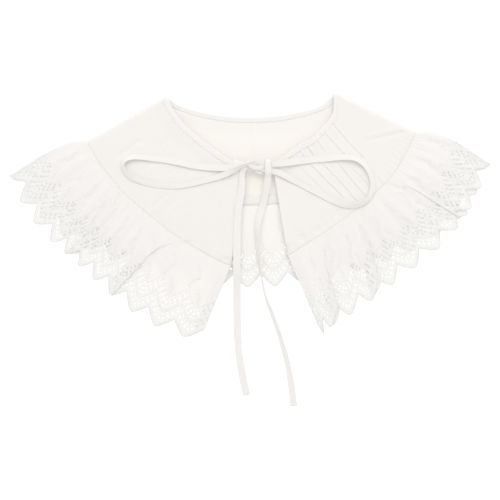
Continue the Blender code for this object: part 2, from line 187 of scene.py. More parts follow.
def rough(seed, x, y, pitch):
    """Smooth random bumps over the plane, mostly from -1 to 1 and about pitch metres apart."""
    draw = np.random.default_rng(seed)
    total = np.zeros(np.broadcast(x, y).shape)
    for _ in range(ROUGH_WAVES):
        turn, phase = draw.uniform(0, 2 * math.pi, 2)
        rate = 2 * math.pi / (pitch * draw.uniform(1.3, 2.8))
        total = total + np.sin(rate * (x * math.cos(turn) + y * math.sin(turn)) + phase)
    return total / (ROUGH_WAVES / 2)


# %% [markdown]
# ## The tie's loose ends and loops
# Each is one stretch of the same narrow tape, laid along the line that the photo shows. A row is x, y, the height
# of the tape's lower edge, all in tenths of a millimetre, and its turn about its own length, in degrees. They are
# cords of their real length.

# %% Tape routes
TENTH = 0.0001  # a tenth of a millimetre, in metres
TAPE_WIDTH = 0.0078
TAPE_WALL = 0.0009

LEFT_LOOP = (
    (-32, -62, 74, 0), (-75, -52, 86, 6), (-154, -59, 90, 12), (-259, -73, 86, 18), (-374, -71, 67, 24),
    (-490, -65, 60, 28), (-605, -48, 58, 30), (-742, -17, 58, 30), (-878, 6, 58, 30), (-1015, 25, 60, 34),
    (-1141, 38, 61, 44), (-1246, 36, 63, 56), (-1317, 6, 63, 66), (-1345, -46, 63, 70), (-1324, -105, 63, 66),
    (-1263, -164, 63, 52), (-1172, -206, 63, 38), (-1046, -241, 63, 26), (-899, -262, 63, 16), (-752, -261, 63, 10),
    (-616, -238, 63, 6), (-479, -204, 63, 3), (-343, -168, 70, 0), (-270, -143, 80, 14), (-192, -108, 92, 44),
    (-110, -69, 98, 70), (-49, -45, 99, 76), (6, -29, 98, 70), (60, -14, 96, 54), (106, -3, 94, 34),
    (150, -4, 92, 12),
)  # fmt: skip
RIGHT_LOOP = (
    (172, -52, 86, 0), (236, -42, 94, 0), (310, -33, 97, -4), (403, -18, 90, -8), (508, -2, 74, -12),
    (634, 13, 62, -18), (760, 23, 60, -26), (886, 34, 61, -38), (1001, 38, 63, -52), (1096, 20, 63, -58),
    (1169, -20, 63, -54), (1226, -80, 63, -48), (1262, -158, 63, -46), (1280, -241, 63, -46), (1268, -330, 63, -48),
    (1226, -405, 63, -54), (1152, -454, 63, -58), (1061, -472, 63, -54), (965, -456, 63, -40), (844, -408, 63, -24),
    (707, -336, 63, -14), (571, -267, 63, -8), (455, -205, 68, -4), (350, -152, 78, 0), (290, -124, 80, 0),
    (224, -110, 80, 0), (161, -98, 80, 8), (98, -78, 78, 26), (45, -56, 74, 36),
)  # fmt: skip
LEFT_TAIL = (
    (-40, -52, 70, 20), (-68, -82, 82, 12), (-83, -112, 82, 4), (-89, -141, 78, 0), (-89, -221, 72, 0),
    (-99, -325, 65, 0), (-118, -441, 63, 0), (-135, -567, 63, 0), (-142, -725, 63, 0), (-144, -882, 63, 0),
    (-144, -1018, 63, 0), (-144, -1123, 58, 0), (-144, -1228, 42, 0), (-144, -1333, 20, 0), (-144, -1428, 6, 0),
    (-144, -1543, 2, 0), (-142, -1690, 2, 0), (-137, -1837, 2, 0), (-127, -1984, 2, 0), (-110, -2121, 2, 0),
    (-85, -2268, 2, 0), (-42, -2462, 2, 0),
)  # fmt: skip
RIGHT_TAIL = (
    (182, 11, 92, 0), (182, 5, 113, 0), (182, -12, 123, 0), (183, -52, 124, 0), (184, -120, 119, 0),
    (182, -178, 86, 0), (174, -252, 66, 0), (158, -347, 40, 0), (134, -441, 22, 0), (107, -535, 17, 5),
    (81, -630, 15, 20), (69, -714, 16, 34), (71, -808, 18, 42), (79, -914, 22, 48), (88, -1018, 26, 54),
    (98, -1113, 28, 66), (113, -1207, 28, 80), (132, -1313, 20, 76), (154, -1417, 8, 70), (182, -1501, 3, 63),
    (214, -1575, 2, 58), (252, -1680, 2, 54), (293, -1795, 2, 51), (332, -1921, 2, 46), (367, -2047, 2, 40),
    (400, -2194, 2, 30), (431, -2383, 2, 16), (455, -2579, 2, 6),
)  # fmt: skip


def centre_line(route, width, wall, step):
    """(points, tilts) along a smooth line through a route in metres, step metres apart."""
    rows = np.array([(x, y, under, math.radians(tilt)) for x, y, under, tilt in route])
    knots = distances(rows[:, :3])
    at = np.linspace(0.0, knots[-1], max(3, round(knots[-1] / step) + 1))
    values = smooth_through(at, knots, rows)
    points, tilt = values[:, :3].copy(), values[:, 3]
    points[:, 2] += (width * np.abs(np.sin(tilt)) + wall * np.cos(tilt)) / 2
    return points, tilt


def tape_frames(points, tilt):
    """(sides, ups) at each point: across the tape and out of its face."""
    ways = normalised(np.gradient(points, axis=0))
    level = normalised(np.cross(ways, (0.0, 0.0, 1.0)))
    upright = np.cross(level, ways)
    cos, sin = np.cos(tilt)[:, None], np.sin(tilt)[:, None]
    return level * cos - upright * sin, upright * cos + level * sin


# The tape's section: a strip folded over on itself, with rounded edges and a shallow dip along each edge stitch.
SECTION = (
    (-1.0, -0.1), (-0.98, -0.62), (-0.9, -0.98), (-0.74, -0.74), (-0.45, -0.95), (0.0, -1.0), (0.45, -0.95),
    (0.74, -0.74), (0.9, -0.98), (0.98, -0.62), (1.0, 0.1), (0.98, 0.62), (0.9, 0.98), (0.74, 0.74), (0.45, 0.95),
    (0.0, 1.0), (-0.45, 0.95), (-0.74, 0.74), (-0.9, 0.98), (-0.98, 0.62),
)  # fmt: skip
CUP_LEVEL = 0.4  # height of a cupped section's middle, as a share of its rise


def strip(points, tilt, widths, wall, cup=0.0):
    """(points, faces, uvs) of a closed tape swept along the points. cup bows its section, as a share of its width."""
    sides, ups = tape_frames(points, tilt)
    out, up = np.array(SECTION).T
    across = out * widths[:, None] / 2
    lift = up * wall / 2 + cup * widths[:, None] * (out**2 - CUP_LEVEL)
    rings = points[:, None, :] + sides[:, None, :] * across[..., None] + ups[:, None, :] * lift[..., None]
    uvs = np.stack([np.broadcast_to(distances(points)[:, None], across.shape), across], axis=-1)
    return rings.reshape(-1, 3), tube_faces(len(points), len(SECTION)), uvs.reshape(-1, 2)


# %% [markdown]
# A loop's tape settles: it lies a little lower than its route and is flatter where it turns little. Every tape is
# narrower at the knot, and its width and turn vary slightly along it.

# %% Tapes
TAPE_STEP = 0.0012
LOOP_DROP = 3  # tenths of a millimetre
LEAST_TURN, MORE_TURN, FULL_TILT = 0.05, 0.65, 70  # shares of a loop's tilt that are kept at 0 and added by 70 degrees
LOOP_SHARE, TAIL_SHARE = 0.83, 0.96  # seen width of the tape as a share of the flat one
PINCH, PINCH_REACH = 0.24, 0.012  # share of its width lost at the knot, and over what length
JITTER_PITCH = 0.012
WIDTH_JITTER, TURN_JITTER = 0.04, math.radians(2.0)
# Distances from the tape's start and its width there, as a share.
LOOP_WIDTHS = ((0.0, 0.03, 0.07, 0.11), (1.0, 1.16, 1.12, 1.0))
LEFT_TAIL_WIDTHS = ((0.0, 0.06, 0.14, 0.23), (0.98, 1.06, 1.14, 1.08))
EVEN_WIDTH = ((0.0,), (1.0,))
CORDS = {
    "left_loop": (LEFT_LOOP, "tie_loop_left", "object", LOOP_WIDTHS),
    "right_loop": (RIGHT_LOOP, "tie_loop_right", "object", LOOP_WIDTHS),
    "left_tail": (LEFT_TAIL, "tie_tail_left", "bare", LEFT_TAIL_WIDTHS),
    "right_tail": (RIGHT_TAIL, "tie_tail_right", "bare", EVEN_WIDTH),
}


def settled(route):
    kept = [LEAST_TURN + MORE_TURN * abs(tilt) / FULL_TILT for *_, tilt in route]
    return [(x, y, under - LOOP_DROP, tilt * share) for (x, y, under, tilt), share in zip(route, kept)]


tapes = []
for seed, (name, (route, node, end, profile)) in enumerate(CORDS.items()):
    loop = end == "object"
    route = settled(route) if loop else route
    line, tilt = centre_line(
        [(x * TENTH, y * TENTH, under * TENTH, tilt) for x, y, under, tilt in route], TAPE_WIDTH, TAPE_WALL, TAPE_STEP
    )
    walked = distances(line)
    draw = np.random.default_rng(seed)
    knots = np.arange(0.0, walked[-1] + 0.03, JITTER_PITCH)
    jitter = smooth_through(walked, knots, draw.normal(0.0, 1.0, (len(knots), 3)))
    from_knot = np.minimum(walked, walked[-1] - walked) if loop else walked
    pinch = 1 - PINCH * np.exp(-((from_knot / PINCH_REACH) ** 2))
    widths = TAPE_WIDTH * (LOOP_SHARE if loop else TAIL_SHARE) * pinch * (1 - WIDTH_JITTER * np.abs(jitter[:, 0]))
    widths = widths * np.interp(walked, *profile)
    tape = faced_out(made(name, *strip(line, tilt + TURN_JITTER * jitter[:, 1], widths, TAPE_WALL)))
    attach(tape, "root")
    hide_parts(node)
    tapes.append(tape)
    print(f"{name}: {1000 * walked[-1]:.0f} mm, {triangles(tape)} triangles")

# %% [markdown]
# ## Where the collar's lines lie
# The collar is walked from its left front edge over both shoulders to its right front edge, counted in scallops
# of the lace. At each place the tables give the neck edge, the way across the cloth and the way across the lace.

# %% Layout
NECK_WIDTH = 0.1767
FRONT_NECK_DROP = 0.0767
BACK_NECK_DROP = 0.0248
CLOTH_DEPTH = 0.0960
LACE_DEPTH = 0.0880
SCALLOP_DEPTH = 0.0138
CLOTH_WALL = 0.0012
LACE_WALL = 0.0010
FOLD_RADIUS = 0.0024
BINDING_WIDTH = 0.0058
BINDING_WALL = 0.0008
GAP = 0.0003
LEAF_SCALLOPS = 10.5
BACK_SCALLOPS = 20.0
LEFT_SHOULDER = LEAF_SCALLOPS
RIGHT_SHOULDER = LEAF_SCALLOPS + BACK_SCALLOPS
WHOLE_WALK = RIGHT_SHOULDER + LEAF_SCALLOPS
FOLD_REACH = 0.16  # scallops on each side of a shoulder that the half turn takes

# walk from the shoulder, neck out and down, cloth turn and depth, lace turn and depth
LEFT_LEAF = (
    (0.0, 1.000, 0.026, 29.3, 1.00, 24.2, 1.02), (1.5, 0.935, 0.195, 36.1, 1.00, 34.9, 1.05),
    (3.0, 0.840, 0.359, 41.4, 0.99, 45.0, 1.04), (4.5, 0.745, 0.477, 47.4, 1.00, 49.4, 1.00),
    (7.0, 0.400, 0.797, 47.2, 1.01, 59.5, 1.04), (9.0, 0.222, 0.921, 64.8, 1.03, 65.2, 1.05),
    (10.5, 0.061, 1.000, 81.8, 1.10, 67.5, 0.97),
)  # fmt: skip
RIGHT_LEAF = (
    (0.0, 1.000, -0.026, 26.1, 0.99, 23.0, 0.97), (1.5, 0.985, 0.140, 35.0, 0.96, 30.8, 1.00),
    (3.6, 0.955, 0.318, 51.8, 0.94, 41.9, 1.01), (5.7, 0.735, 0.605, 53.5, 0.91, 63.1, 1.00),
    (7.7, 0.586, 0.701, 62.5, 0.95, 78.7, 1.08), (9.2, 0.432, 0.825, 74.0, 0.99, 79.2, 1.07),
    (10.5, 0.260, 0.975, 80.6, 1.01, 66.8, 1.04),
)  # fmt: skip
BACK_HALF = (
    (2.5, 0.840, 0.496, 37.1, 0.99, 50.4, 1.06), (5.0, 0.566, 0.792, 53.5, 0.97, 64.0, 1.03),
    (7.5, 0.281, 0.953, 71.3, 0.96, 77.3, 0.98), (10.0, 0.000, 1.000, 90.0, 0.96, 90.0, 0.98),
)  # fmt: skip
SHOULDER_Y = 0.5 * BACK_HALF[-1][4] * CLOTH_DEPTH + BACK_NECK_DROP


def measured(row, side, drop):
    """A section's row in metres and radians: neck x and y, cloth heading and length, lace heading and length."""
    walk, out, down, cloth_turn, cloth_share, lace_turn, lace_share = row
    headings = [math.radians(-turn if side > 0 else turn - 180) for turn in (cloth_turn, lace_turn)]
    inset = FOLD_RADIUS + CLOTH_WALL / 2 if walk == 0 else 0.0
    return (
        side * (out * NECK_WIDTH / 2 - inset * abs(math.sin(headings[0]))),
        SHOULDER_Y - down * drop - inset * abs(math.cos(headings[0])),
        headings[0], cloth_share * CLOTH_DEPTH, headings[1], lace_share * LACE_DEPTH,
    )  # fmt: skip


def collar_rows():
    left = [(LEAF_SCALLOPS - r[0], measured(r, -1, FRONT_NECK_DROP)) for r in reversed(LEFT_LEAF)]
    right = [(r[0], measured(r, 1, FRONT_NECK_DROP)) for r in RIGHT_LEAF]
    back = [(0.0, measured(LEFT_LEAF[0], -1, FRONT_NECK_DROP))]
    back += [(r[0], measured(r, -1, BACK_NECK_DROP)) for r in BACK_HALF]
    back += [(BACK_SCALLOPS - r[0], measured(r, 1, BACK_NECK_DROP)) for r in reversed(BACK_HALF[:-1])]
    back += [(BACK_SCALLOPS, measured(RIGHT_LEAF[0], 1, FRONT_NECK_DROP))]
    return [tuple(zip(*part)) for part in (left, back, right)]


ROWS = collar_rows()


def turned_out(ways, side):
    """Level ways at right angles to these, to the outside of the leaf on that side."""
    return side[:, None] * np.stack([-ways[:, 1], ways[:, 0]], axis=1)


class Lines:
    """The collar's lines at many walks at once."""

    def __init__(self, walk):
        self.walk = walk = np.asarray(walk, float).ravel()
        self.part = (walk >= LEFT_SHOULDER).astype(int) + (walk > RIGHT_SHOULDER)
        local = walk - np.array([0.0, LEFT_SHOULDER, RIGHT_SHOULDER])[self.part]
        row = np.zeros((len(walk), 6))
        for k in range(3):
            here = self.part == k
            if here.any():
                row[here] = smooth_through(local[here], *ROWS[k])
        self.neck = row[:, :2]
        self.cloth_way = np.stack([np.cos(row[:, 2]), np.sin(row[:, 2])], axis=1)
        self.cloth_length = row[:, 3]
        self.lace_way = np.stack([np.cos(row[:, 4]), np.sin(row[:, 4])], axis=1)
        self.lace_length = row[:, 5]
        self.side = np.where(walk < WHOLE_WALK / 2, -1.0, 1.0)
        down = np.clip((walk - LEFT_SHOULDER + FOLD_REACH) / (2 * FOLD_REACH), 0, 1)
        up = np.clip((walk - RIGHT_SHOULDER + FOLD_REACH) / (2 * FOLD_REACH), 0, 1)
        self.angle = math.pi * (0.5 - down + up)
        flat = np.cos(self.angle)[:, None] * turned_out(self.cloth_way, self.side)
        self.normal = np.concatenate([flat, np.sin(self.angle)[:, None]], axis=1)


BINDING_RUN_OUT = 0.015  # how far past the binding the cloth comes down again


def cloth_points(lines, run, off=0.0):
    """Points of the cloth, run metres from the neck edge and off metres out from its middle plane."""
    run = np.broadcast_to(run, lines.walk.shape)
    flat = lines.neck + lines.cloth_way * run[:, None]
    lift = (BINDING_WALL + GAP) * (1 - ease((run - BINDING_WIDTH) / BINDING_RUN_OUT))
    middle = np.concatenate([flat, (CLOTH_WALL / 2 + FOLD_RADIUS + lift)[:, None]], axis=1)
    return middle + (FOLD_RADIUS + np.broadcast_to(off, lines.walk.shape))[:, None] * lines.normal


FOLD = np.linspace(-FOLD_REACH, FOLD_REACH, 9)[1:-1]


def walks_along(left, back, right):
    """Walks from end to end: so many on each leaf and the back, and closer ones round both shoulders."""
    return np.concatenate([
        np.linspace(0.0, LEFT_SHOULDER - FOLD_REACH, left), LEFT_SHOULDER + FOLD,
        np.linspace(LEFT_SHOULDER + FOLD_REACH, RIGHT_SHOULDER - FOLD_REACH, back), RIGHT_SHOULDER + FOLD,
        np.linspace(RIGHT_SHOULDER + FOLD_REACH, WHOLE_WALK, right),
    ])  # fmt: skip


# %% [markdown]
# ## Cloth
# One piece of plain cotton from the neck to the lace seam. Creases, wrinkles and small puckers at the seams are
# moved into a fine grid, and the sheet then gets its thickness.

# %% Cloth
PX = 0.00105  # one picture pixel, in metres
PICTURE_ORIGIN = (250.65, 161)  # the pixel of the frame's origin
CLOTH_THICK = 0.0006
CLOTH_ROWS = 84


def at_pixel(px, py):
    """A place in the photo as metres in the frame."""
    return (px - PICTURE_ORIGIN[0]) * PX, (PICTURE_ORIGIN[1] - py) * PX


# from x, y to x, y in the photo, width and depth in tenths of a millimetre
RIGHT_CREASES = (
    (330, 121, 347, 142, 9, 9), (347, 142, 364, 159, 9, 9), (324, 133, 346, 157, 8, 9), (313, 136, 325, 153, 8, 9),
    (306, 145, 314, 157, 8, 8), (299, 150, 304, 158, 8, 8), (309, 164, 324, 179, 8, 9), (324, 179, 343, 198, 8, 9),
    (321, 163, 338, 180, 8, 9), (338, 180, 357, 203, 8, 9), (337, 162, 349, 178, 8, 10),
    (349, 178, 367, 199, 8, 10), (378, 178, 383, 186, 9, 9), (366, 141, 413, 130, 22, 8),
    (300, 168, 322, 190, 10, 6), (350, 167, 372, 190, 10, 6),
)  # fmt: skip
LEFT_CREASES = (
    (151, 163, 142, 172, 16, 6), (179, 167, 168, 175, 16, 6), (166, 195, 151, 210, 18, 6),
    (177, 199, 166, 211, 18, 6), (140, 140, 118, 158, 30, 8), (175, 120, 160, 150, 30, 6),
    (190, 215, 180, 240, 30, 6), (213, 190, 219, 250, 40, 6),
)  # fmt: skip
BACK_CREASES = ((250.5, 117, 250.5, 160, 12, 5),)
# x, y in the photo, radius and depth in tenths of a millimetre
DIMPLES = (
    (203, 257, 40, 16), (225, 263, 50, 18), (286, 249, 45, 20), (302, 238, 35, 16), (317, 229.5, 35, 14),
    (189, 244, 40, 10), (164, 228, 40, 10), (340, 214, 40, 10),
)  # fmt: skip


def crease_height(x, y, rows):
    """Height of the creases at places in the plane: a narrow valley with a low ridge beside it."""
    total = np.zeros(x.shape)
    for x0, y0, x1, y1, width, depth in rows:
        (ax, ay), (bx, by) = at_pixel(x0, y0), at_pixel(x1, y1)
        length = math.hypot(bx - ax, by - ay)
        ux, uy = (bx - ax) / length, (by - ay) / length
        along = ((x - ax) * ux + (y - ay) * uy) / length
        across = ((x - ax) * -uy + (y - ay) * ux) / (width * TENTH)
        taper = ease(np.clip(np.minimum(along, 1 - along) / 0.18 + 0.35, 0, 1))
        ridge = 0.55 * np.exp(-(((across - 1.9) / 1.4) ** 2))
        total += depth * TENTH * taper * (ridge - np.exp(-(across**2)))
    return total


shares = np.concatenate([np.linspace(0.0, 0.972, CLOTH_ROWS - 3), (0.980, 0.987, 0.993, 1.0)])
walks = walks_along(138, 150, 214)
grid_walk, grid_share = np.meshgrid(walks, shares, indexing="ij")
lines = Lines(grid_walk)
start = BINDING_WALL + GAP
run = start + grid_share.ravel() * (lines.cloth_length - start)
middle = cloth_points(lines, run)
x, y = middle[:, 0], middle[:, 1]
front = np.sin(lines.angle) > 0.98
top = np.sin(lines.angle) ** 2
to_seam = lines.cloth_length - run


def pucker(rate, sway, seed, pitch):
    """Small waves along an edge, rate of them in each scallop, that wander by sway."""
    return np.sin(2 * math.pi * rate * lines.walk + sway * rough(seed, x, y, pitch))


# Wide and small lumps (height, seed and pitch), and the puckers' heights.
LUMPS = ((0.00028, 3, 0.045), (0.00012, 4, 0.012))
EDGE_CALM = 0.012  # the lumps grow to their full height over so much cloth from its edges
NECK_PUCKER, SEAM_PUCKER = 0.00016, 0.00030
lumps = sum(rise * rough(seed, x, y, pitch) for rise, seed, pitch in LUMPS)
lumps *= ease((run - 0.004) / EDGE_CALM) * ease(to_seam / EDGE_CALM)
neck_pucker = NECK_PUCKER * pucker(3.3, 2, 5, 0.02) * np.exp(-(((run - 0.007) / 0.006) ** 2))
seam_pucker = SEAM_PUCKER * pucker(3.1, 3, 6, 0.03) * np.exp(-to_seam / 0.008) * ease(to_seam / 0.0025)
height = (lumps + neck_pucker + seam_pucker) * top
for here, rows, share in (
    (front & (x > 0), RIGHT_CREASES, 1.0), (front & (x < 0), LEFT_CREASES, 1.0), (lines.part == 1, BACK_CREASES, top),
):  # fmt: skip
    height += np.where(here, crease_height(x, y, rows), 0.0) * share
for px, py, radius, depth in DIMPLES:
    cx, cy = at_pixel(px, py)
    dip = depth * TENTH * np.exp(-((x - cx) ** 2 + (y - cy) ** 2) / (radius * TENTH) ** 2)
    height -= np.where(front, dip, 0.0)
SEAM_ROLL, SEAM_ROLL_WIDTH = 0.00032, 0.0018  # the cloth rolls down into the seam
height -= SEAM_ROLL * (1 - ease(to_seam / SEAM_ROLL_WIDTH)) * np.sin(lines.angle)
middle[:, 2] += np.where(lines.part == 1, np.maximum(height, 0.0), height)

FLAT_PITCH = 0.0130  # cloth length at the neck for one scallop, used for the weave's direction
uvs = np.stack([lines.walk * FLAT_PITCH, run], axis=1)
cloth = solid(made("cloth", middle, grid_faces(len(walks), len(shares)), uvs), CLOTH_THICK)
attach(cloth, "root")
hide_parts("collar_body")
print(f"cloth: {triangles(cloth)} triangles, x {x.min():.3f} to {x.max():.3f}")

# %% [markdown]
# ## Binding
# The neck tape is folded over the cloth's edge, so its section is a U with rounded corners.

# %% Binding
BINDING_SECTION = (
    (0.0, -0.9), (-0.0002, 0.0), (0.0, 0.9), (0.0004, 1.12), (0.0012, 1.18), (0.003, 1.08), (0.0042, 0.9),
    (0.005, 1.0), (0.0056, 0.84), (0.0058, 0.58), (0.0058, 0.2), (0.003, 0.2), (0.0012, 0.2), (0.0012, -0.2),
    (0.003, -0.2), (0.0058, -0.2), (0.0058, -0.58), (0.0056, -0.84), (0.005, -1.0), (0.0042, -0.9), (0.003, -1.08),
    (0.0012, -1.18), (0.0004, -1.12),
)  # fmt: skip
BINDING_HALF = 0.00095
WOBBLE = 0.00016
bind_walks = walks_along(150, 260, 150)
section = np.array(BINDING_SECTION)
grid_walk, grid_k = np.meshgrid(bind_walks, np.arange(len(section)), indexing="ij")
lines = Lines(grid_walk)
run, off = section[grid_k.ravel()].T
wobble = WOBBLE * np.sin(2 * math.pi * 3.0 * lines.walk + 2 * np.sin(1.7 * lines.walk))
points = cloth_points(lines, run, off * BINDING_HALF + wobble * np.sign(off))
uvs = np.stack([lines.walk * FLAT_PITCH, run], axis=1)
binding = faced_out(made("neck_tape", points, tube_faces(len(bind_walks), len(section)), uvs))
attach(binding, "root")
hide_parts("neck_binding")
print(f"binding: {triangles(binding)} triangles")

# %% [markdown]
# ## Knot
# The bow's knot is made of short stretches of the same tape under the left loop's own end, which crosses it.

# %% Knot
# x, y in the photo, height of the lower edge, tilt and width of each stretch, in tenths of a millimetre and degrees
WRAP = (
    (246.6, 162, 88, 0, 40), (247.7, 163.6, 109, 0, 44), (250.4, 165.9, 112, 0, 48), (254.6, 168.2, 94, 10, 48),
    (259.3, 168.7, 86, 16, 46), (264.5, 167.7, 82, 10, 48), (270, 166.4, 80, 0, 52), (275, 165.6, 80, 0, 56),
)  # fmt: skip
ROOT = (
    (233, 160.8, 50, -8, 50), (239, 163.2, 64, -10, 50), (245, 165.6, 78, -10, 48), (251, 168, 76, -10, 44),
    (256.5, 170.6, 68, -8, 42), (262, 173.4, 64, 0, 42),
)  # fmt: skip
KNOT_WALL = 0.0011
KNOT_STEP = 0.0007
KNOT_CUP = -0.10
knot_points, knot_faces, knot_uvs, base = [], [], [], 0
for stretch in (WRAP, ROOT):
    route = [(*at_pixel(px, py), under * TENTH, tilt) for px, py, under, tilt, _ in stretch]
    width = np.array([w for *_, w in stretch]) * TENTH
    line, tilt = centre_line(route, float(width.mean()), TAPE_WALL, KNOT_STEP)
    widths = np.interp(np.linspace(0, 1, len(line)), np.linspace(0, 1, len(width)), width)
    points, faces, uvs = strip(line, tilt, widths, KNOT_WALL, KNOT_CUP)
    knot_points.append(points)
    knot_faces += [tuple(v + base for v in face) for face in faces]
    knot_uvs.append(uvs)
    base += len(points)
knot = faced_out(made("knot", np.concatenate(knot_points), knot_faces, np.concatenate(knot_uvs)))
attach(knot, "root")
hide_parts("tie_knot")
print(f"knot: {triangles(knot)} triangles")

# %% [markdown]
# ## Eyelet lace
# One scallop is drawn flat with its round eyelets, as triangles. It is repeated along the whole edge and then
# laid along the seam, gathered and folded.

# %% One scallop
FLAT_SCALLOP = 0.0283  # flat width of one scallop
NOTCH = LACE_DEPTH - SCALLOP_DEPTH
EYELET_RADIUS = 0.00118
EYELET_SIDES = 10
SMALL_RADIUS = 0.00078
SMALL_SIDES = 6
EYELETS_IN_ROW = 8
ROW_OFFSETS = (0.0089, 0.0263)  # depth from the hem of the two rows of eyelets
SMALL_OFFSETS = (0.0138, 0.0222, 0.0312)  # the same for the rows of small ones
CORD_OFFSETS = (0.0170, 0.0187)  # the same for the pair of raised cords between them
POINT_ROUNDING = 0.016
HOLE_MARGIN, HEM_MARGIN = 0.0006, 0.0008  # bare distances of the inner points from holes and hem
LEAST_AREA = 1e-11
# from depth, to depth, rows and columns of the inner points
BANDS = ((0.0, 0.021, 9, 21), (0.021, 0.045, 12, 17), (0.045, LACE_DEPTH, 24, 17))


def edge_depth(u):
    """Depth of the hem at a share u of the scallop's width: a rounded point with full sides."""
    out = np.sqrt(np.abs(2 * u - 1) ** 2.3 + POINT_ROUNDING) - math.sqrt(POINT_ROUNDING)
    return LACE_DEPTH - SCALLOP_DEPTH * out / (math.sqrt(1 + POINT_ROUNDING) - math.sqrt(POINT_ROUNDING))


def hem_row(offset, shift):
    """(share of the width, x, depth) of the places in one row that follows the hem."""
    shares = [(i + shift) / EYELETS_IN_ROW for i in range(EYELETS_IN_ROW)]
    return [(u, u * FLAT_SCALLOP, float(edge_depth(u)) - offset) for u in shares]


# (x, depth, radius) of one scallop's eyelets. Those at x 0 are shared with its neighbour.
EYELETS = [
    (x, depth, radius)
    for offsets, shift, radius in ((ROW_OFFSETS, 0, EYELET_RADIUS), (SMALL_OFFSETS, 0.5, SMALL_RADIUS))
    for offset in offsets
    for _, x, depth in hem_row(offset, shift)
]


def scallop_mesh(holes):
    """(points, triangles) of one flat scallop, x along the seam and y from the seam to the hem. A hole at x 0 is
    half of one that the neighbour shares."""
    turns = np.linspace(0, math.pi, EYELET_SIDES // 2 + 1)[1:-1]
    side, at = [], 0.0
    for d, r in sorted((d, r) for x, d, r in holes if x == 0):
        side += [(0.0, y) for y in np.linspace(at, d - r, max(2, round((d - r - at) / 0.0028)) + 1)[1:-1]]
        side += [(0.0, d - r), *((r * math.sin(t), d - r * math.cos(t)) for t in turns), (0.0, d + r)]
        at = d + r
    side += [(0.0, y) for y in np.linspace(at, NOTCH, 5)[1:-1]]
    hem = [(u * FLAT_SCALLOP, float(edge_depth(u))) for u in np.linspace(0, 1, 25)]
    right = [(FLAT_SCALLOP - x, y) for x, y in reversed(side)]
    seam = [(FLAT_SCALLOP * k / 18, 0.0) for k in range(18, -1, -1)]
    points = [Vector(p) for p in side + hem + right + seam]
    loops = [list(range(len(points)))]
    for x, d, r in holes:
        if x == 0:
            continue
        base = len(points)
        sides = EYELET_SIDES if r > SMALL_RADIUS else SMALL_SIDES
        for k in range(sides):
            turn = 2 * math.pi * k / sides
            points.append(Vector((x + r * math.cos(turn), d + r * math.sin(turn))))
        loops.append(list(range(base, base + sides)))
    centres = list(holes) + [(FLAT_SCALLOP, d, r) for x, d, r in holes if x == 0]
    for low, high, rows, columns in BANDS:
        for j, y in enumerate(np.linspace(low, high, rows + 1)[1:]):
            for k in range(columns):
                x = FLAT_SCALLOP * (k + (0.7 if j % 2 else 0.3)) / columns
                clear = min(math.hypot(x - hx, y - hy) - r for hx, hy, r in centres) > HOLE_MARGIN
                if clear and y < edge_depth(x / FLAT_SCALLOP) - HEM_MARGIN:
                    points.append(Vector((x, y)))
    edges = [(loop[k], loop[(k + 1) % len(loop)]) for loop in loops for k in range(len(loop))]
    flat, _, faces, *_ = delaunay_2d_cdt(points, edges, [], 0, 1e-7)
    flat = np.array([tuple(p) for p in flat])
    kept = []
    for face in faces:
        a, b, c = flat[list(face)]
        x, y = (a + b + c) / 3
        hollow = min(math.hypot(x - hx, y - hy) / r for hx, hy, r in centres) < 0.84
        if not hollow and y < edge_depth(x / FLAT_SCALLOP) and abs(np.linalg.det([b - a, c - a])) > LEAST_AREA:
            kept.append(tuple(face))
    return flat, kept


unit = scallop_mesh(EYELETS)
print(f"one scallop: {len(EYELETS)} eyelets, {len(unit[1])} triangles")

# %% [markdown]
# ## Laying the lace
# The lace is longer than the edge that it is sewn to. On each leaf it is pleated: at a pleat it turns back under
# itself and forward again, and uses up one scallop. Between the pleats it rises in soft waves.

# %% Lace layout
# Each pleat: its edge's place from the shoulder at the seam and at the hem, in scallops, the side that lies on
# top, its rise in metres and the width of the turn in scallops. Each wave: the same places, rise and spread.
LEFT_PLEATS = ((4.60, 4.05, "front", 0.0015, 0.62), (7.90, 7.05, "shoulder", 0.0014, 0.62))
RIGHT_PLEATS = (
    (2.85, 2.55, "shoulder", 0.0009, 0.75), (6.20, 6.45, "front", 0.0015, 0.50), (8.95, 8.40, "front", 0.0014, 0.58),
)  # fmt: skip
LEFT_WAVES = (
    (0.9, 1.2, 0.0020, 0.50), (2.0, 2.3, 0.0022, 0.45), (3.2, 3.3, 0.0018, 0.45), (5.6, 5.5, 0.0022, 0.45),
    (6.7, 6.3, 0.0018, 0.40), (8.9, 8.6, 0.0026, 0.40), (9.8, 9.6, 0.0022, 0.35),
)  # fmt: skip
RIGHT_WAVES = (
    (1.0, 1.2, 0.0022, 0.45), (1.9, 2.2, 0.0020, 0.40), (3.8, 4.0, 0.0024, 0.45), (5.0, 5.2, 0.0022, 0.40),
    (7.4, 7.5, 0.0018, 0.40), (9.7, 9.6, 0.0020, 0.35),
)  # fmt: skip
BACK_WAVES = tuple((w, w, 0.0003, 0.50) for w in np.arange(1.5, 19.0, 1.9))
PLEAT_TAKES = 1.0  # scallops of lace that one pleat uses up
PLEAT_AT_SEAM = 2.1  # width of a pleat's turn at the seam, in scallops
PLEAT_OVER = 0.03
PLEAT_REACH = 1.5  # scallops over which a pleat's rise dies away
LEFT_MORE = PLEAT_TAKES * len(LEFT_PLEATS)
RIGHT_MORE = PLEAT_TAKES * len(RIGHT_PLEATS)
LACE_SCALLOPS = WHOLE_WALK + LEFT_MORE + RIGHT_MORE
LEFT_BOW, RIGHT_BOW = 0.0068, 0.0084  # how far the lace swings out beside each shoulder
BOW_REACH = 1.3  # scallops over which that dies away
WAVES_LOST = 0.72  # share of the waves' rise that is gone at the hem
GATHER_RISE, TOP_GATHERS = 0.00030, 5.3  # small gathers at the seam, so many in each scallop
RIPPLE_RISE, RIPPLES = 0.0003, 1.7
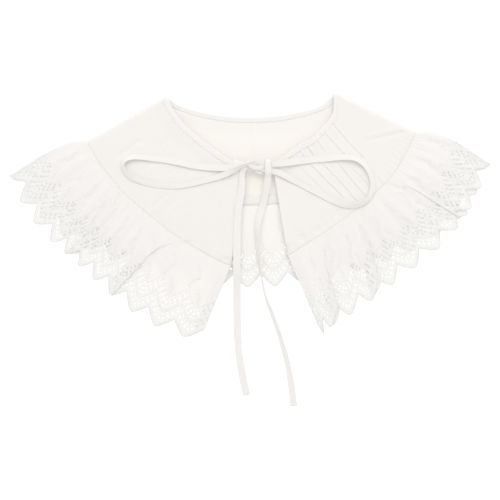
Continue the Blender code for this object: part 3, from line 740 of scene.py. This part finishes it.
HEM_SAG = 0.0042
SEAM_LAP = 0.0012
SEAM_TUCK = 0.00006
BACK_LACE_SHIFT = 0.12
BACK_LOWEST = -0.0001


def pleated(m, share, pleats):
    """Where lace m scallops from the shoulder lies along the edge, and how high its pleats carry it."""
    place = m.copy()
    high = np.zeros(m.shape)
    for k, (seam_at, hem_at, top, rise, hem_width) in enumerate(pleats):
        edge = seam_at + (hem_at - seam_at) * share + PLEAT_TAKES * k
        width = PLEAT_AT_SEAM + (hem_width - PLEAT_AT_SEAM) * ease(share / 0.40)
        from_edge = width / 2 - PLEAT_OVER
        middle = edge + from_edge if top == "shoulder" else edge + PLEAT_TAKES - from_edge
        gone = ease((m - middle) / width + 0.5)
        place -= PLEAT_TAKES * gone
        on_top = 1 - gone if top == "shoulder" else gone
        far = np.maximum(0, (middle - m) if top == "shoulder" else (m - middle))
        high += rise * on_top * np.exp(-((far / PLEAT_REACH) ** 2)) * ease(share / 0.45)
    return place, high


BASE = np.array([-0.27, -0.20])
CELL = 0.002
LIFT = np.zeros((270, 140))  # metres that the back lace is raised, by place on the floor


def lifted(flat):
    """The lift at each place, between the four nearest cells."""
    at = np.clip((flat - BASE) / CELL, 0, np.array(LIFT.shape) - 1.001)
    low = at.astype(int)
    (i, j), (u, v) = low.T, (at - low).T
    near = LIFT[i, j] * (1 - u) + LIFT[i + 1, j] * u
    far = LIFT[i, j + 1] * (1 - u) + LIFT[i + 1, j + 1] * u
    return near * (1 - v) + far * v


def lace_points(m_all, depth, out=0.0):
    """Points of the laid lace. m_all counts scallops of lace from the left front edge, depth is metres from the
    seam on the flat lace, and out is metres off its middle plane, to the right side."""
    m_all = np.asarray(m_all, float).ravel()
    depth = np.broadcast_to(depth, m_all.shape).astype(float)
    share = np.clip(depth / LACE_DEPTH, 0, 1)
    walk = m_all - LEFT_MORE
    rise = np.zeros(walk.shape)
    left = walk < LEFT_SHOULDER
    right = walk > RIGHT_SHOULDER
    leaf = left | right
    place, high = pleated(LEFT_SHOULDER - walk[left], share[left], LEFT_PLEATS)
    walk[left], rise[left] = LEFT_SHOULDER - place, high
    place, high = pleated(walk[right] - RIGHT_SHOULDER, share[right], RIGHT_PLEATS)
    walk[right], rise[right] = RIGHT_SHOULDER + place, high
    walk = np.clip(walk, 0.0, WHOLE_WALK)
    from_left = np.where(left, LEFT_SHOULDER - walk, walk - LEFT_SHOULDER)
    at = np.where(right, walk - RIGHT_SHOULDER, from_left)
    fade = ease(share * 2.0) * (1 - WAVES_LOST * ease((share - 0.35) / 0.35))
    for here, waves in ((left, LEFT_WAVES), (right, RIGHT_WAVES), (~leaf, BACK_WAVES)):
        for seam_at, hem_at, high, spread in waves:
            t = (at - seam_at - (hem_at - seam_at) * share) / spread
            rise += np.where(here, high * np.exp(-t * t) * fade, 0.0)
    middle_back = np.exp(-(((walk - WHOLE_WALK / 2) / 5.0) ** 4))
    walk = walk - BACK_LACE_SHIFT * middle_back * ~leaf
    lines = Lines(walk)
    gather = np.sin(2 * math.pi * TOP_GATHERS * m_all + 1.5 * np.sin(3.1 * m_all))
    rise += GATHER_RISE * gather * np.exp(-share / 0.10) * ease(share / 0.02)
    ripple = np.sin(2 * math.pi * RIPPLES * m_all + 2.0 * np.sin(0.9 * m_all) + 2 * share)
    rise += RIPPLE_RISE * ripple * ease(share / 0.2) * (0.4 + 0.6 * (lines.normal[:, 2] > 0))
    to_shoulder = np.minimum(np.abs(walk - LEFT_SHOULDER), np.abs(walk - RIGHT_SHOULDER))
    bow = np.where(lines.side < 0, LEFT_BOW, RIGHT_BOW) * np.sin(math.pi * share**0.6)
    bow *= np.exp(-((to_shoulder / BOW_REACH) ** 2))
    seam = lines.neck + lines.cloth_way * (lines.cloth_length - SEAM_LAP)[:, None]
    flat = seam + lines.lace_way * (depth * lines.lace_length / LACE_DEPTH + SEAM_LAP)[:, None]
    flat = flat + turned_out(lines.lace_way, lines.side) * bow[:, None]
    rise = np.where(leaf, rise, np.maximum(rise, BACK_LOWEST))
    raised = np.where(leaf, 0.0, lifted(flat) * ease((share - 0.35) / 0.2))
    rise = rise * (1 - np.clip(raised / 0.0003, 0, 1)) + raised
    rise = rise * np.sin(lines.angle) ** 2 + SEAM_TUCK * (1 - ease(share / 0.04)) * np.sin(lines.angle)
    rise -= HEM_SAG * ease(1.5 * share) * np.clip(np.sin(lines.angle), 0, 1)
    middle = np.concatenate([flat, (LACE_WALL / 2 + FOLD_RADIUS + rise)[:, None]], axis=1)
    return middle + (FOLD_RADIUS + np.broadcast_to(out, walk.shape))[:, None] * lines.normal


# %% [markdown]
# The outer half of the back lace lies right under the front lace, so that it shows through the eyelets. The lift
# is the lowest front point over each 2 mm cell, less a gap, smoothed.

# %% Back lace under the front
LACE_GAP = 0.00050
MOST_LIFT = 0.0016
for ends in ((0.0, LEFT_MORE + LEFT_SHOULDER - 0.3), (LEFT_MORE + RIGHT_SHOULDER + 0.3, LACE_SCALLOPS)):
    m, share = np.meshgrid(np.arange(*ends, 0.04), np.linspace(0.4, 1.0, 60), indexing="ij")
    front = lace_points(m, (share * edge_depth(m % 1.0)).ravel())
    i, j = ((front[:, :2] - BASE) / CELL).round().astype(int).T
    lowest = np.full(LIFT.shape, np.inf)
    np.minimum.at(lowest, (i, j), front[:, 2])
    room = np.clip(lowest - LACE_WALL / 2 - LACE_GAP, 0, MOST_LIFT)
    LIFT = np.maximum(LIFT, np.where(np.isinf(lowest), 0.0, room))
for axis in (0, 1, 0, 1):
    LIFT = (np.roll(LIFT, 1, axis) + 2 * LIFT + np.roll(LIFT, -1, axis)) / 4
print(f"back lace raised up to {LIFT.max() * 1000:.1f} mm")

# %% [markdown]
# The flat scallops are joined in a row and laid. The two shoulder folds run down the middle of a scallop, where it
# has no eyelets.

# %% Lace
LACE_THICK = 0.00035
SCALLOPS = int(math.ceil(LACE_SCALLOPS))
FOLDED = {int(LEFT_MORE + LEFT_SHOULDER), int(LEFT_MORE + RIGHT_SHOULDER)}
FOLD_EYELETS = [row for row in EYELETS if abs(row[0] / FLAT_SCALLOP - 0.5) > 0.1]
WELD = (2.83e3, 1e5)  # steps in a scallop and in a metre of depth within which points are one
fold_unit = scallop_mesh(FOLD_EYELETS)
all_points, all_faces, base = [], [], 0
for cell in range(SCALLOPS):
    flat, faces = fold_unit if cell in FOLDED else unit
    all_points.append(np.stack([cell + flat[:, 0] / FLAT_SCALLOP, flat[:, 1]], axis=1))
    all_faces.append(np.array(faces) + base)
    base += len(flat)
flat = np.concatenate(all_points)
steps = np.round(flat * WELD).astype(np.int64)
_, first, index = np.unique(steps, axis=0, return_index=True, return_inverse=True)
flat, faces = flat[first], index.reshape(-1)[np.concatenate(all_faces)]
points = lace_points(flat[:, 0], flat[:, 1])
lace = solid(made("lace", points, faces, flat * (FLAT_SCALLOP, 1.0)), LACE_THICK)
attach(lace, "root")
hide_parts("lace_ruffle")
print(f"lace: {triangles(lace)} triangles")

# %% [markdown]
# The lace's two front edges are turned under and the cloth's seam allowance lies on its wrong side, so both show
# as bands of double cloth.

# %% Turned edges
FRONT_TURN = 0.30  # width of the turned front edge, in scallops
HEM_COLUMNS, HEM_ROWS = 10, 60
HEM_UNDER, HEM_SHORT = -0.00055, 0.0012  # its place off the lace's middle, and how far above the hem it stops
ALLOWANCE = 0.0105
ALLOWANCE_ROWS = 7
ALLOWANCE_THICK = 0.0004


def front_hems():
    points, faces, uvs, base = [], [], [], 0
    for ends in ((0.0, FRONT_TURN), (LACE_SCALLOPS - FRONT_TURN, LACE_SCALLOPS)):
        m, share = np.meshgrid(np.linspace(*ends, HEM_COLUMNS), np.linspace(0.0, 1.0, HEM_ROWS), indexing="ij")
        depth = share * (edge_depth(m % 1.0) - HEM_SHORT)
        points.append(lace_points(m, depth.ravel(), HEM_UNDER))
        uvs.append(np.stack([m.ravel() * FLAT_SCALLOP, depth.ravel()], axis=1))
        faces += grid_faces(HEM_COLUMNS, HEM_ROWS, base)
        base += m.size
    return solid(made("front_hems", np.concatenate(points), faces, np.concatenate(uvs)), LACE_THICK)


hems = front_hems()
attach(hems, "root")

walks = walks_along(60, 140, 60)
m, share = np.meshgrid(walks, np.linspace(0.0, 1.0, ALLOWANCE_ROWS), indexing="ij")
lines = Lines(m)
inward = lines.cloth_length - ALLOWANCE * (1 - share.ravel())
inside = -(CLOTH_THICK / 2 + 0.00030) * (1 - 0.75 * ease((share.ravel() - 0.75) / 0.25))
uvs = np.stack([m.ravel() * FLAT_PITCH, inward], axis=1)
allowance = made("seam_allowance", cloth_points(lines, inward, inside), grid_faces(len(walks), ALLOWANCE_ROWS), uvs)
solid(allowance, ALLOWANCE_THICK)
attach(allowance, "root")
print(f"front hems {triangles(hems)}, seam allowance {triangles(allowance)} triangles")

# %% [markdown]
# ## What repeats
# Geometry Nodes set a rim round each eyelet, lay the hem's thick thread and the raised cords, and set the satin
# leaves and stitches.


# %% Node tools
def tree_named(name, inputs):
    """(tree, its inputs) of a new Geometry Nodes tree with a geometry in and out, the named number inputs as
    (name, type, default), and a material."""
    tree = bpy.data.node_groups.new(name, "GeometryNodeTree")
    for label, kind, value in (("Geometry", "Geometry", None), *inputs, ("Material", "Material", None)):
        socket = tree.interface.new_socket(label, in_out="INPUT", socket_type="NodeSocket" + kind)
        if value is not None:
            socket.default_value = value
    tree.interface.new_socket("Geometry", in_out="OUTPUT", socket_type="NodeSocketGeometry")
    return tree, tree.nodes.new("NodeGroupInput").outputs


def add(tree, kind, inputs, **settings):
    """The outputs of a new node with its settings, its inputs linked or set by name or number."""
    node = tree.nodes.new(kind)
    for key, value in settings.items():
        setattr(node, key, value)
    for name, source in inputs.items():
        socket = node.inputs[name]
        if isinstance(source, bpy.types.NodeSocket):
            tree.links.new(source, socket)
        else:
            socket.default_value = source
    return node.outputs


def attribute(tree, name):
    return add(tree, "GeometryNodeInputNamedAttribute", {"Name": name}, data_type="FLOAT_VECTOR")["Attribute"]


def finished(tree, given, geometry):
    """Ends a tree: makes its geometry real, gives it the material and sends it out."""
    real = add(tree, "GeometryNodeRealizeInstances", {"Geometry": geometry})["Geometry"]
    done = add(tree, "GeometryNodeSetMaterial", {"Geometry": real, "Material": given["Material"]})["Geometry"]
    add(tree, "NodeGroupOutput", {"Geometry": done})
    return tree


def rim_tree():
    """One ring of thread at each point, round its facing."""
    tree, given = tree_named("eyelet_rims", (
        ("Radius", "Float", 0.001), ("Thread", "Float", 0.0003), ("Sides", "Int", 12),
    ))  # fmt: skip
    circle = "GeometryNodeCurvePrimitiveCircle"
    ring = add(tree, circle, {"Resolution": given["Sides"], "Radius": given["Radius"]})["Curve"]
    thread = add(tree, circle, {"Resolution": 5, "Radius": given["Thread"]})["Curve"]
    rim = add(tree, "GeometryNodeCurveToMesh", {"Curve": ring, "Profile Curve": thread})["Mesh"]
    turned = add(tree, "FunctionNodeAlignRotationToVector", {"Vector": attribute(tree, "facing")}, axis="Z")
    placed = add(tree, "GeometryNodeInstanceOnPoints", {
        "Points": given["Geometry"], "Instance": rim, "Rotation": turned["Rotation"],
    })  # fmt: skip
    return finished(tree, given, placed["Instances"])


def thread_tree():
    """A round thread along each line of edges."""
    tree, given = tree_named("hem_thread", (("Thread", "Float", 0.0005), ("Step", "Float", 0.0012)))
    line = add(tree, "GeometryNodeMeshToCurve", {"Mesh": given["Geometry"]})["Curve"]
    spaced = add(tree, "GeometryNodeResampleCurve", {"Curve": line, "Length": given["Step"]}, mode="LENGTH")["Curve"]
    round_ = add(tree, "GeometryNodeCurvePrimitiveCircle", {"Resolution": 6, "Radius": given["Thread"]})["Curve"]
    cord = add(tree, "GeometryNodeCurveToMesh", {"Curve": spaced, "Profile Curve": round_, "Fill Caps": True})
    return finished(tree, given, cord["Mesh"])


def stitch_tree():
    """One rounded stitch or satin leaf at each point, long way along it."""
    tree, given = tree_named("stitches", (
        ("Length", "Float", 0.002), ("Width", "Float", 0.0004), ("Height", "Float", 0.0003),
    ))  # fmt: skip
    ball = add(tree, "GeometryNodeMeshUVSphere", {"Segments": 6, "Rings": 4, "Radius": 0.5})["Mesh"]
    size = add(tree, "ShaderNodeCombineXYZ", {"X": given["Length"], "Y": given["Width"], "Z": given["Height"]})
    shape = add(tree, "GeometryNodeTransform", {"Geometry": ball, "Scale": size["Vector"]})["Geometry"]
    turned = add(tree, "FunctionNodeAxesToRotation", {
        "Primary Axis": attribute(tree, "facing"), "Secondary Axis": attribute(tree, "along"),
    }, primary_axis="Z", secondary_axis="X")  # fmt: skip
    placed = add(tree, "GeometryNodeInstanceOnPoints", {
        "Points": given["Geometry"], "Instance": shape, "Rotation": turned["Rotation"],
        "Scale": attribute(tree, "stretch"),
    })  # fmt: skip
    return finished(tree, given, placed["Instances"])


def grown(obj, tree, values):
    """Runs a tree on an object and keeps the result as its own mesh."""
    modifier = obj.modifiers.new(tree.name, "NODES")
    modifier.node_group = tree
    names = {i.name: i.identifier for i in tree.interface.items_tree if i.in_out == "INPUT"}
    for label, value in values.items():
        modifier[names[label]] = value
    return applied(obj)


def marks(name, points, edges=(), **vectors):
    """An object of bare points and edges, with a vector attribute for each name."""
    mesh = bpy.data.meshes.new(name)
    mesh.from_pydata([tuple(p) for p in points], list(edges), [])
    for label, rows in vectors.items():
        layer = mesh.attributes.new(label, "FLOAT_VECTOR", "POINT")
        layer.data.foreach_set("vector", np.asarray(rows, np.float32).ravel())
    return linked(name, mesh)


# %% [markdown]
# ## Materials
# Everything is white cotton. The weave is a bump over each piece's flat cloth, so it follows the folds. The
# threads of the embroidery take it by their place.

# %% Materials
WEAVE_STRENGTH, WEAVE_DEPTH = 0.4, 0.00008
SLUB_DEPTH, SLUB_STRETCH = 0.0003, (900, 110, 900)
DARKER = 0.965  # the slubs' darkest tone


def cotton(name, colour, weave, slub, glow, flat=True, band=None):
    """White cotton: weave is the thread pitch in metres, slub the strength of its uneven threads, and glow the
    share of light that passes through. band is (start, end, colour) of a darker tone towards the hem, by depth."""
    material = bpy.data.materials.new(name)
    material.use_nodes = True
    tree = material.node_tree
    tree.nodes.clear()
    place = add(tree, "ShaderNodeTexCoord", {})["UV" if flat else "Object"]
    threads = []
    for turn in (0.0, math.pi / 2):
        turned = add(tree, "ShaderNodeMapping", {"Vector": place, "Rotation": (0, 0, turn)})["Vector"]
        threads.append(add(tree, "ShaderNodeTexWave", {
            "Vector": turned, "Scale": 2 * math.pi / (20 * weave), "Distortion": 1.5, "Detail": 1.0,
        })["Fac"])  # fmt: skip
    both = add(tree, "ShaderNodeMath", dict(enumerate(threads)), operation="ADD")["Value"]
    stretched = add(tree, "ShaderNodeMapping", {"Vector": place, "Scale": SLUB_STRETCH})["Vector"]
    slubs = add(tree, "ShaderNodeTexNoise", {"Vector": stretched, "Scale": 1.0, "Detail": 3.0})["Fac"]
    woven = add(tree, "ShaderNodeBump", {"Height": both, "Strength": WEAVE_STRENGTH, "Distance": WEAVE_DEPTH})
    uneven = add(tree, "ShaderNodeBump", {
        "Height": slubs, "Normal": woven["Normal"], "Strength": slub, "Distance": SLUB_DEPTH,
    })["Normal"]  # fmt: skip
    dark = (*[DARKER * c for c in colour], 1)
    tone = add(tree, "ShaderNodeMix", {0: slubs, 6: dark, 7: (*colour, 1)}, data_type="RGBA")[2]
    if band:
        start, end, hemward_colour = band
        depth = add(tree, "ShaderNodeSeparateXYZ", {0: place})["Y"]
        within = add(tree, "ShaderNodeMapRange", {"Value": depth, "From Min": start, "From Max": end})["Result"]
        tone = add(tree, "ShaderNodeMix", {0: within, 6: tone, 7: (*hemward_colour, 1)}, data_type="RGBA")[2]
    body = add(tree, "ShaderNodeBsdfPrincipled", {
        "Base Color": tone, "Normal": uneven, "Roughness": 0.92, "Sheen Weight": 0.10, "Specular IOR Level": 0.15,
    })["BSDF"]  # fmt: skip
    through = add(tree, "ShaderNodeBsdfTranslucent", {"Color": tone})["BSDF"]
    mixed = add(tree, "ShaderNodeMixShader", {"Fac": glow, 1: body, 2: through})["Shader"]
    add(tree, "ShaderNodeOutputMaterial", {"Surface": mixed})
    return material


# The lace's colour turns darker from 40 mm to 60 mm below the seam and stays so to the hem.
HEMWARD_TONE = (0.040, 0.060, (0.948, 0.925, 0.888))
CLOTH_WHITE = cotton("cloth_white", (0.958, 0.917, 0.858), 0.00045, 0.30, 0.20)
LACE_WHITE = cotton("lace_white", (0.982, 0.945, 0.910), 0.00040, 0.30, 0.20, band=HEMWARD_TONE)
TAPE_WHITE = cotton("tape_white", (0.910, 0.876, 0.832), 0.00045, 0.30, 0.14)
BINDING_WHITE = cotton("binding_white", (0.950, 0.914, 0.868), 0.00045, 0.30, 0.16)
THREAD_WHITE = cotton("thread_white", (0.980, 0.976, 0.970), 0.00040, 0.20, 0.24, flat=False)
LEAF_WHITE = cotton("leaf_white", (0.985, 0.970, 0.955), 0.00040, 0.20, 0.24, flat=False)
# The eyelets' rim thread is darker than the other thread: painted shade, a grey ring round each eyelet.
RIM_PAINTED_SHADE = cotton("rim_painted_shade", (0.900, 0.885, 0.868), 0.00040, 0.20, 0.20, flat=False)
# The hem's thread is much darker than the other thread: painted shade, a grey outline along the lace's edge.
HEM_PAINTED_SHADE = cotton("hem_painted_shade", (0.800, 0.795, 0.785), 0.00040, 0.20, 0.10, flat=False)

for material, slot, pieces in (
    (CLOTH_WHITE, "cotton_cloth", (cloth, allowance)),
    (LACE_WHITE, "eyelet_lace", (lace, hems)),
    (BINDING_WHITE, "cotton_tape", (binding,)),
    (TAPE_WHITE, "cotton_tape", (knot, *tapes)),
):
    for piece in pieces:
        piece.data.materials.clear()
        piece.data.materials.append(material)

# %% [markdown]
# ## Rims and threads
# Each eyelet has a rim of thread, the hem a thick one with small bumps, and two raised cords run between the rows. The
# rims' and the hem's thread are coloured darker, as painted shade.

# %% Eyelet rims and hem thread
WALK_STEP, DEPTH_STEP = 0.02, 0.0005  # scallops and metres over which a way along a surface is measured
RIM_LIP = 0.00008  # how far a rim's line lies outside its eyelet


def lace_frames(m, depth):
    """(points, facings, downs, alongs) of the laid lace: out of its right side, to the hem and along the seam."""
    alongs = normalised(lace_points(m + WALK_STEP, depth) - lace_points(m - WALK_STEP, depth))
    downs = normalised(lace_points(m, depth + DEPTH_STEP) - lace_points(m, depth - DEPTH_STEP))
    return lace_points(m, depth), normalised(np.cross(alongs, downs)), downs, alongs


def repeated(places):
    """The places (x, depth, ...) of one scallop on every scallop, as columns: scallops of lace, depth and the rest."""
    rows = []
    for cell in range(SCALLOPS):
        here = FOLD_EYELETS if places is EYELETS and cell in FOLDED else places
        rows += [(cell + x / FLAT_SCALLOP, depth, *rest) for x, depth, *rest in here]
    return np.array([row for row in rows if row[0] > 0.001]).T


def set_out(obj):
    obj.data.shade_smooth()
    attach(obj, "root")
    print(f"{obj.name}: {triangles(obj)} triangles")


rim_m, rim_depth, rim_radius = repeated(EYELETS)
for name, radius, thread, sides in (
    ("eyelet_rims", EYELET_RADIUS, 0.00025, 12), ("small_rims", SMALL_RADIUS, 0.00020, 8),
):  # fmt: skip
    own = np.isclose(rim_radius, radius)
    spots, facings, _, _ = lace_frames(rim_m[own], rim_depth[own])
    values = {"Radius": radius + RIM_LIP, "Thread": thread, "Sides": sides, "Material": RIM_PAINTED_SHADE}
    set_out(grown(marks(name, spots, facing=facings), rim_tree(), values))


def threaded(name, lines, radius, step, material):
    """A piece of thread along each line of points."""
    edges, base = [], 0
    for line in lines:
        edges += [(base + i, base + i + 1) for i in range(len(line) - 1)]
        base += len(line)
    values = {"Thread": radius, "Step": step, "Material": material}
    set_out(grown(marks(name, np.concatenate(lines), edges), thread_tree(), values))


PICOTS = 8  # small bumps of the hem's thread on each scallop
PICOT_HEIGHT = 0.00045
HEM_INSET = 0.0003  # how far inside the lace's edge the thread's line lies
LOOSE_CORD, LOOSE_SWING = 0.0028, 2.2  # depth from the hem of the wavy cord, and its waves as a share of the picots
hem_m = np.linspace(0, SCALLOPS, SCALLOPS * 32 + 1)
hem = edge_depth(hem_m % 1.0)
picot = PICOT_HEIGHT * np.abs(np.sin(math.pi * PICOTS * hem_m))
# The hem thread's dark colour is painted shade along the edge.
threaded("hem_thread", [lace_points(hem_m, hem - HEM_INSET + picot)], 0.00055, 0.0010, HEM_PAINTED_SHADE)
cord_depths = [hem - offset for offset in CORD_OFFSETS] + [hem - LOOSE_CORD - LOOSE_SWING * picot]
threaded("raised_cords", [lace_points(hem_m, depth) for depth in cord_depths], 0.00038, 0.0014, THREAD_WHITE)

# %% [markdown]
# Satin-stitched leaves cover the plain part of the lace: a row above the eyelets and three sprigs on each scallop,
# with leaves on both sides.

# %% Embroidery
LEAF_OFFSET, LEAF_LEAN = 0.0352, 1.39  # depth from the hem and turn of the row of leaves
LEAF_AWAY, LEAF_TURN = 0.0015, 0.85  # place of a sprig's side leaves from its stem
SPRIG_DOWN = -math.pi / 2


def sprig(x, depth, steps, pace, curl):
    """Leaves (x, depth, turn, length, width) on both sides of a curved stem, in the flat scallop."""
    leaves, turn = [], SPRIG_DOWN
    for _ in range(steps):
        turn += curl
        x += pace * math.cos(turn)
        depth += pace * math.sin(turn)
        for lean in (turn - LEAF_TURN, turn + LEAF_TURN):
            leaves.append((x + LEAF_AWAY * math.cos(lean), depth + LEAF_AWAY * math.sin(lean), lean, 1.0, 1.0))
        leaves.append((x, depth, turn, 0.9, 0.45))
    return leaves


motif = [
    (x, depth, math.pi / 2 + LEAF_LEAN * (1 if u < 0.5 else -1), 0.9, 0.8) for u, x, depth in hem_row(LEAF_OFFSET, 0.5)
]
motif += sprig(0.0142, 0.0540, 5, 0.0034, 0.10)
motif += sprig(0.0010, 0.0400, 4, 0.0034, -0.14)
motif += sprig(0.0215, 0.0300, 4, 0.0036, 0.14)
leaf_m, leaf_depth, leaf_turn, leaf_long, leaf_wide = repeated(motif)
spots, facings, downs, alongs = lace_frames(leaf_m, leaf_depth)
ways = alongs * np.cos(leaf_turn)[:, None] + downs * np.sin(leaf_turn)[:, None]
stretch = np.stack([leaf_long, leaf_wide, np.ones(len(leaf_long))], axis=1)
leaves = marks("satin_leaves", spots + facings * LACE_THICK * 0.4, facing=facings, along=ways, stretch=stretch)
grown(leaves, stitch_tree(), {"Length": 0.0032, "Width": 0.0014, "Height": 0.0007, "Material": LEAF_WHITE})
set_out(leaves)

# %% [markdown]
# The neck tape is stitched down along its lower edge, on both sides.

# %% Binding stitches
STITCH_PITCH = 0.0030
STITCH_RUN, STITCH_OFF = 0.0047, 0.00092  # metres from the neck edge and off the cloth's middle
walks = np.linspace(0.0, WHOLE_WALK, 4000)
walked = distances(cloth_points(Lines(walks), STITCH_RUN, 0.00135))
at = np.interp(np.arange(STITCH_PITCH, walked[-1], STITCH_PITCH), walked, walks)
spots, facings, ways = [], [], []
for off in (STITCH_OFF, -STITCH_OFF):
    here, ahead, behind = Lines(at), Lines(at + WALK_STEP), Lines(at - WALK_STEP)
    spots.append(cloth_points(here, STITCH_RUN, off))
    facings.append(here.normal * np.sign(off))
    ways.append(cloth_points(ahead, STITCH_RUN, off) - cloth_points(behind, STITCH_RUN, off))
spots, facings, ways = (np.concatenate(rows) for rows in (spots, facings, ways))
stitches = marks("neck_stitches", spots, facing=facings, along=ways, stretch=np.ones(spots.shape))
grown(stitches, stitch_tree(), {"Length": 0.0024, "Width": 0.0004, "Height": 0.0003, "Material": THREAD_WHITE})
set_out(stitches)

# %% [markdown]
# ## Floor and light
# The collar lies on a plain white surface that gives off light, under an even sky and a large soft lamp from the
# top of the picture. The gamma keeps the double layers of cotton as pale as in the photo.

# %% Stage
FLOOR_HALF = 3.0
FLOOR_HEIGHT = -0.0002
SKY_STRENGTH = 0.765
LAMP_PLACE, LAMP_TARGET = (0.1, 1.0, 1.3), (0, -0.09, 0)
LAMP_POWER = 15.0
WHITE = (1, 1, 1, 1)

scene = bpy.context.scene
scene.view_settings.view_transform = "Standard"
scene.view_settings.gamma = 1.6
floor_mesh = bpy.data.meshes.new("floor")
corners = [(x * FLOOR_HALF, y * FLOOR_HALF, 0) for x, y in ((-1, -1), (1, -1), (1, 1), (-1, 1))]
floor_mesh.from_pydata(corners, [], [(0, 1, 2, 3)])
floor = linked("floor", floor_mesh)
floor.location.z = FLOOR_HEIGHT
paper = bpy.data.materials.new("floor_white")
paper.use_nodes = True
shader = paper.node_tree.nodes["Principled BSDF"]
for label, value in {
    "Base Color": (0.3, 0.3, 0.3, 1), "Roughness": 0.9, "Specular IOR Level": 0.0, "Emission Color": WHITE,
    "Emission Strength": 1.0,
}.items():  # fmt: skip
    shader.inputs[label].default_value = value
floor_mesh.materials.append(paper)

world = bpy.data.worlds.new("World")
world.use_nodes = True
sky = world.node_tree.nodes["Background"].inputs
sky["Color"].default_value = WHITE
sky["Strength"].default_value = SKY_STRENGTH
scene.world = world

key_data = bpy.data.lights.new("key", "AREA")
key_data.shape = "RECTANGLE"
key_data.size, key_data.size_y = 1.8, 1.0
key_data.energy = LAMP_POWER
key = linked("key", key_data)
key.location = LAMP_PLACE
key.rotation_euler = (Vector(LAMP_TARGET) - Vector(LAMP_PLACE)).to_track_quat("-Z", "Y").to_euler()
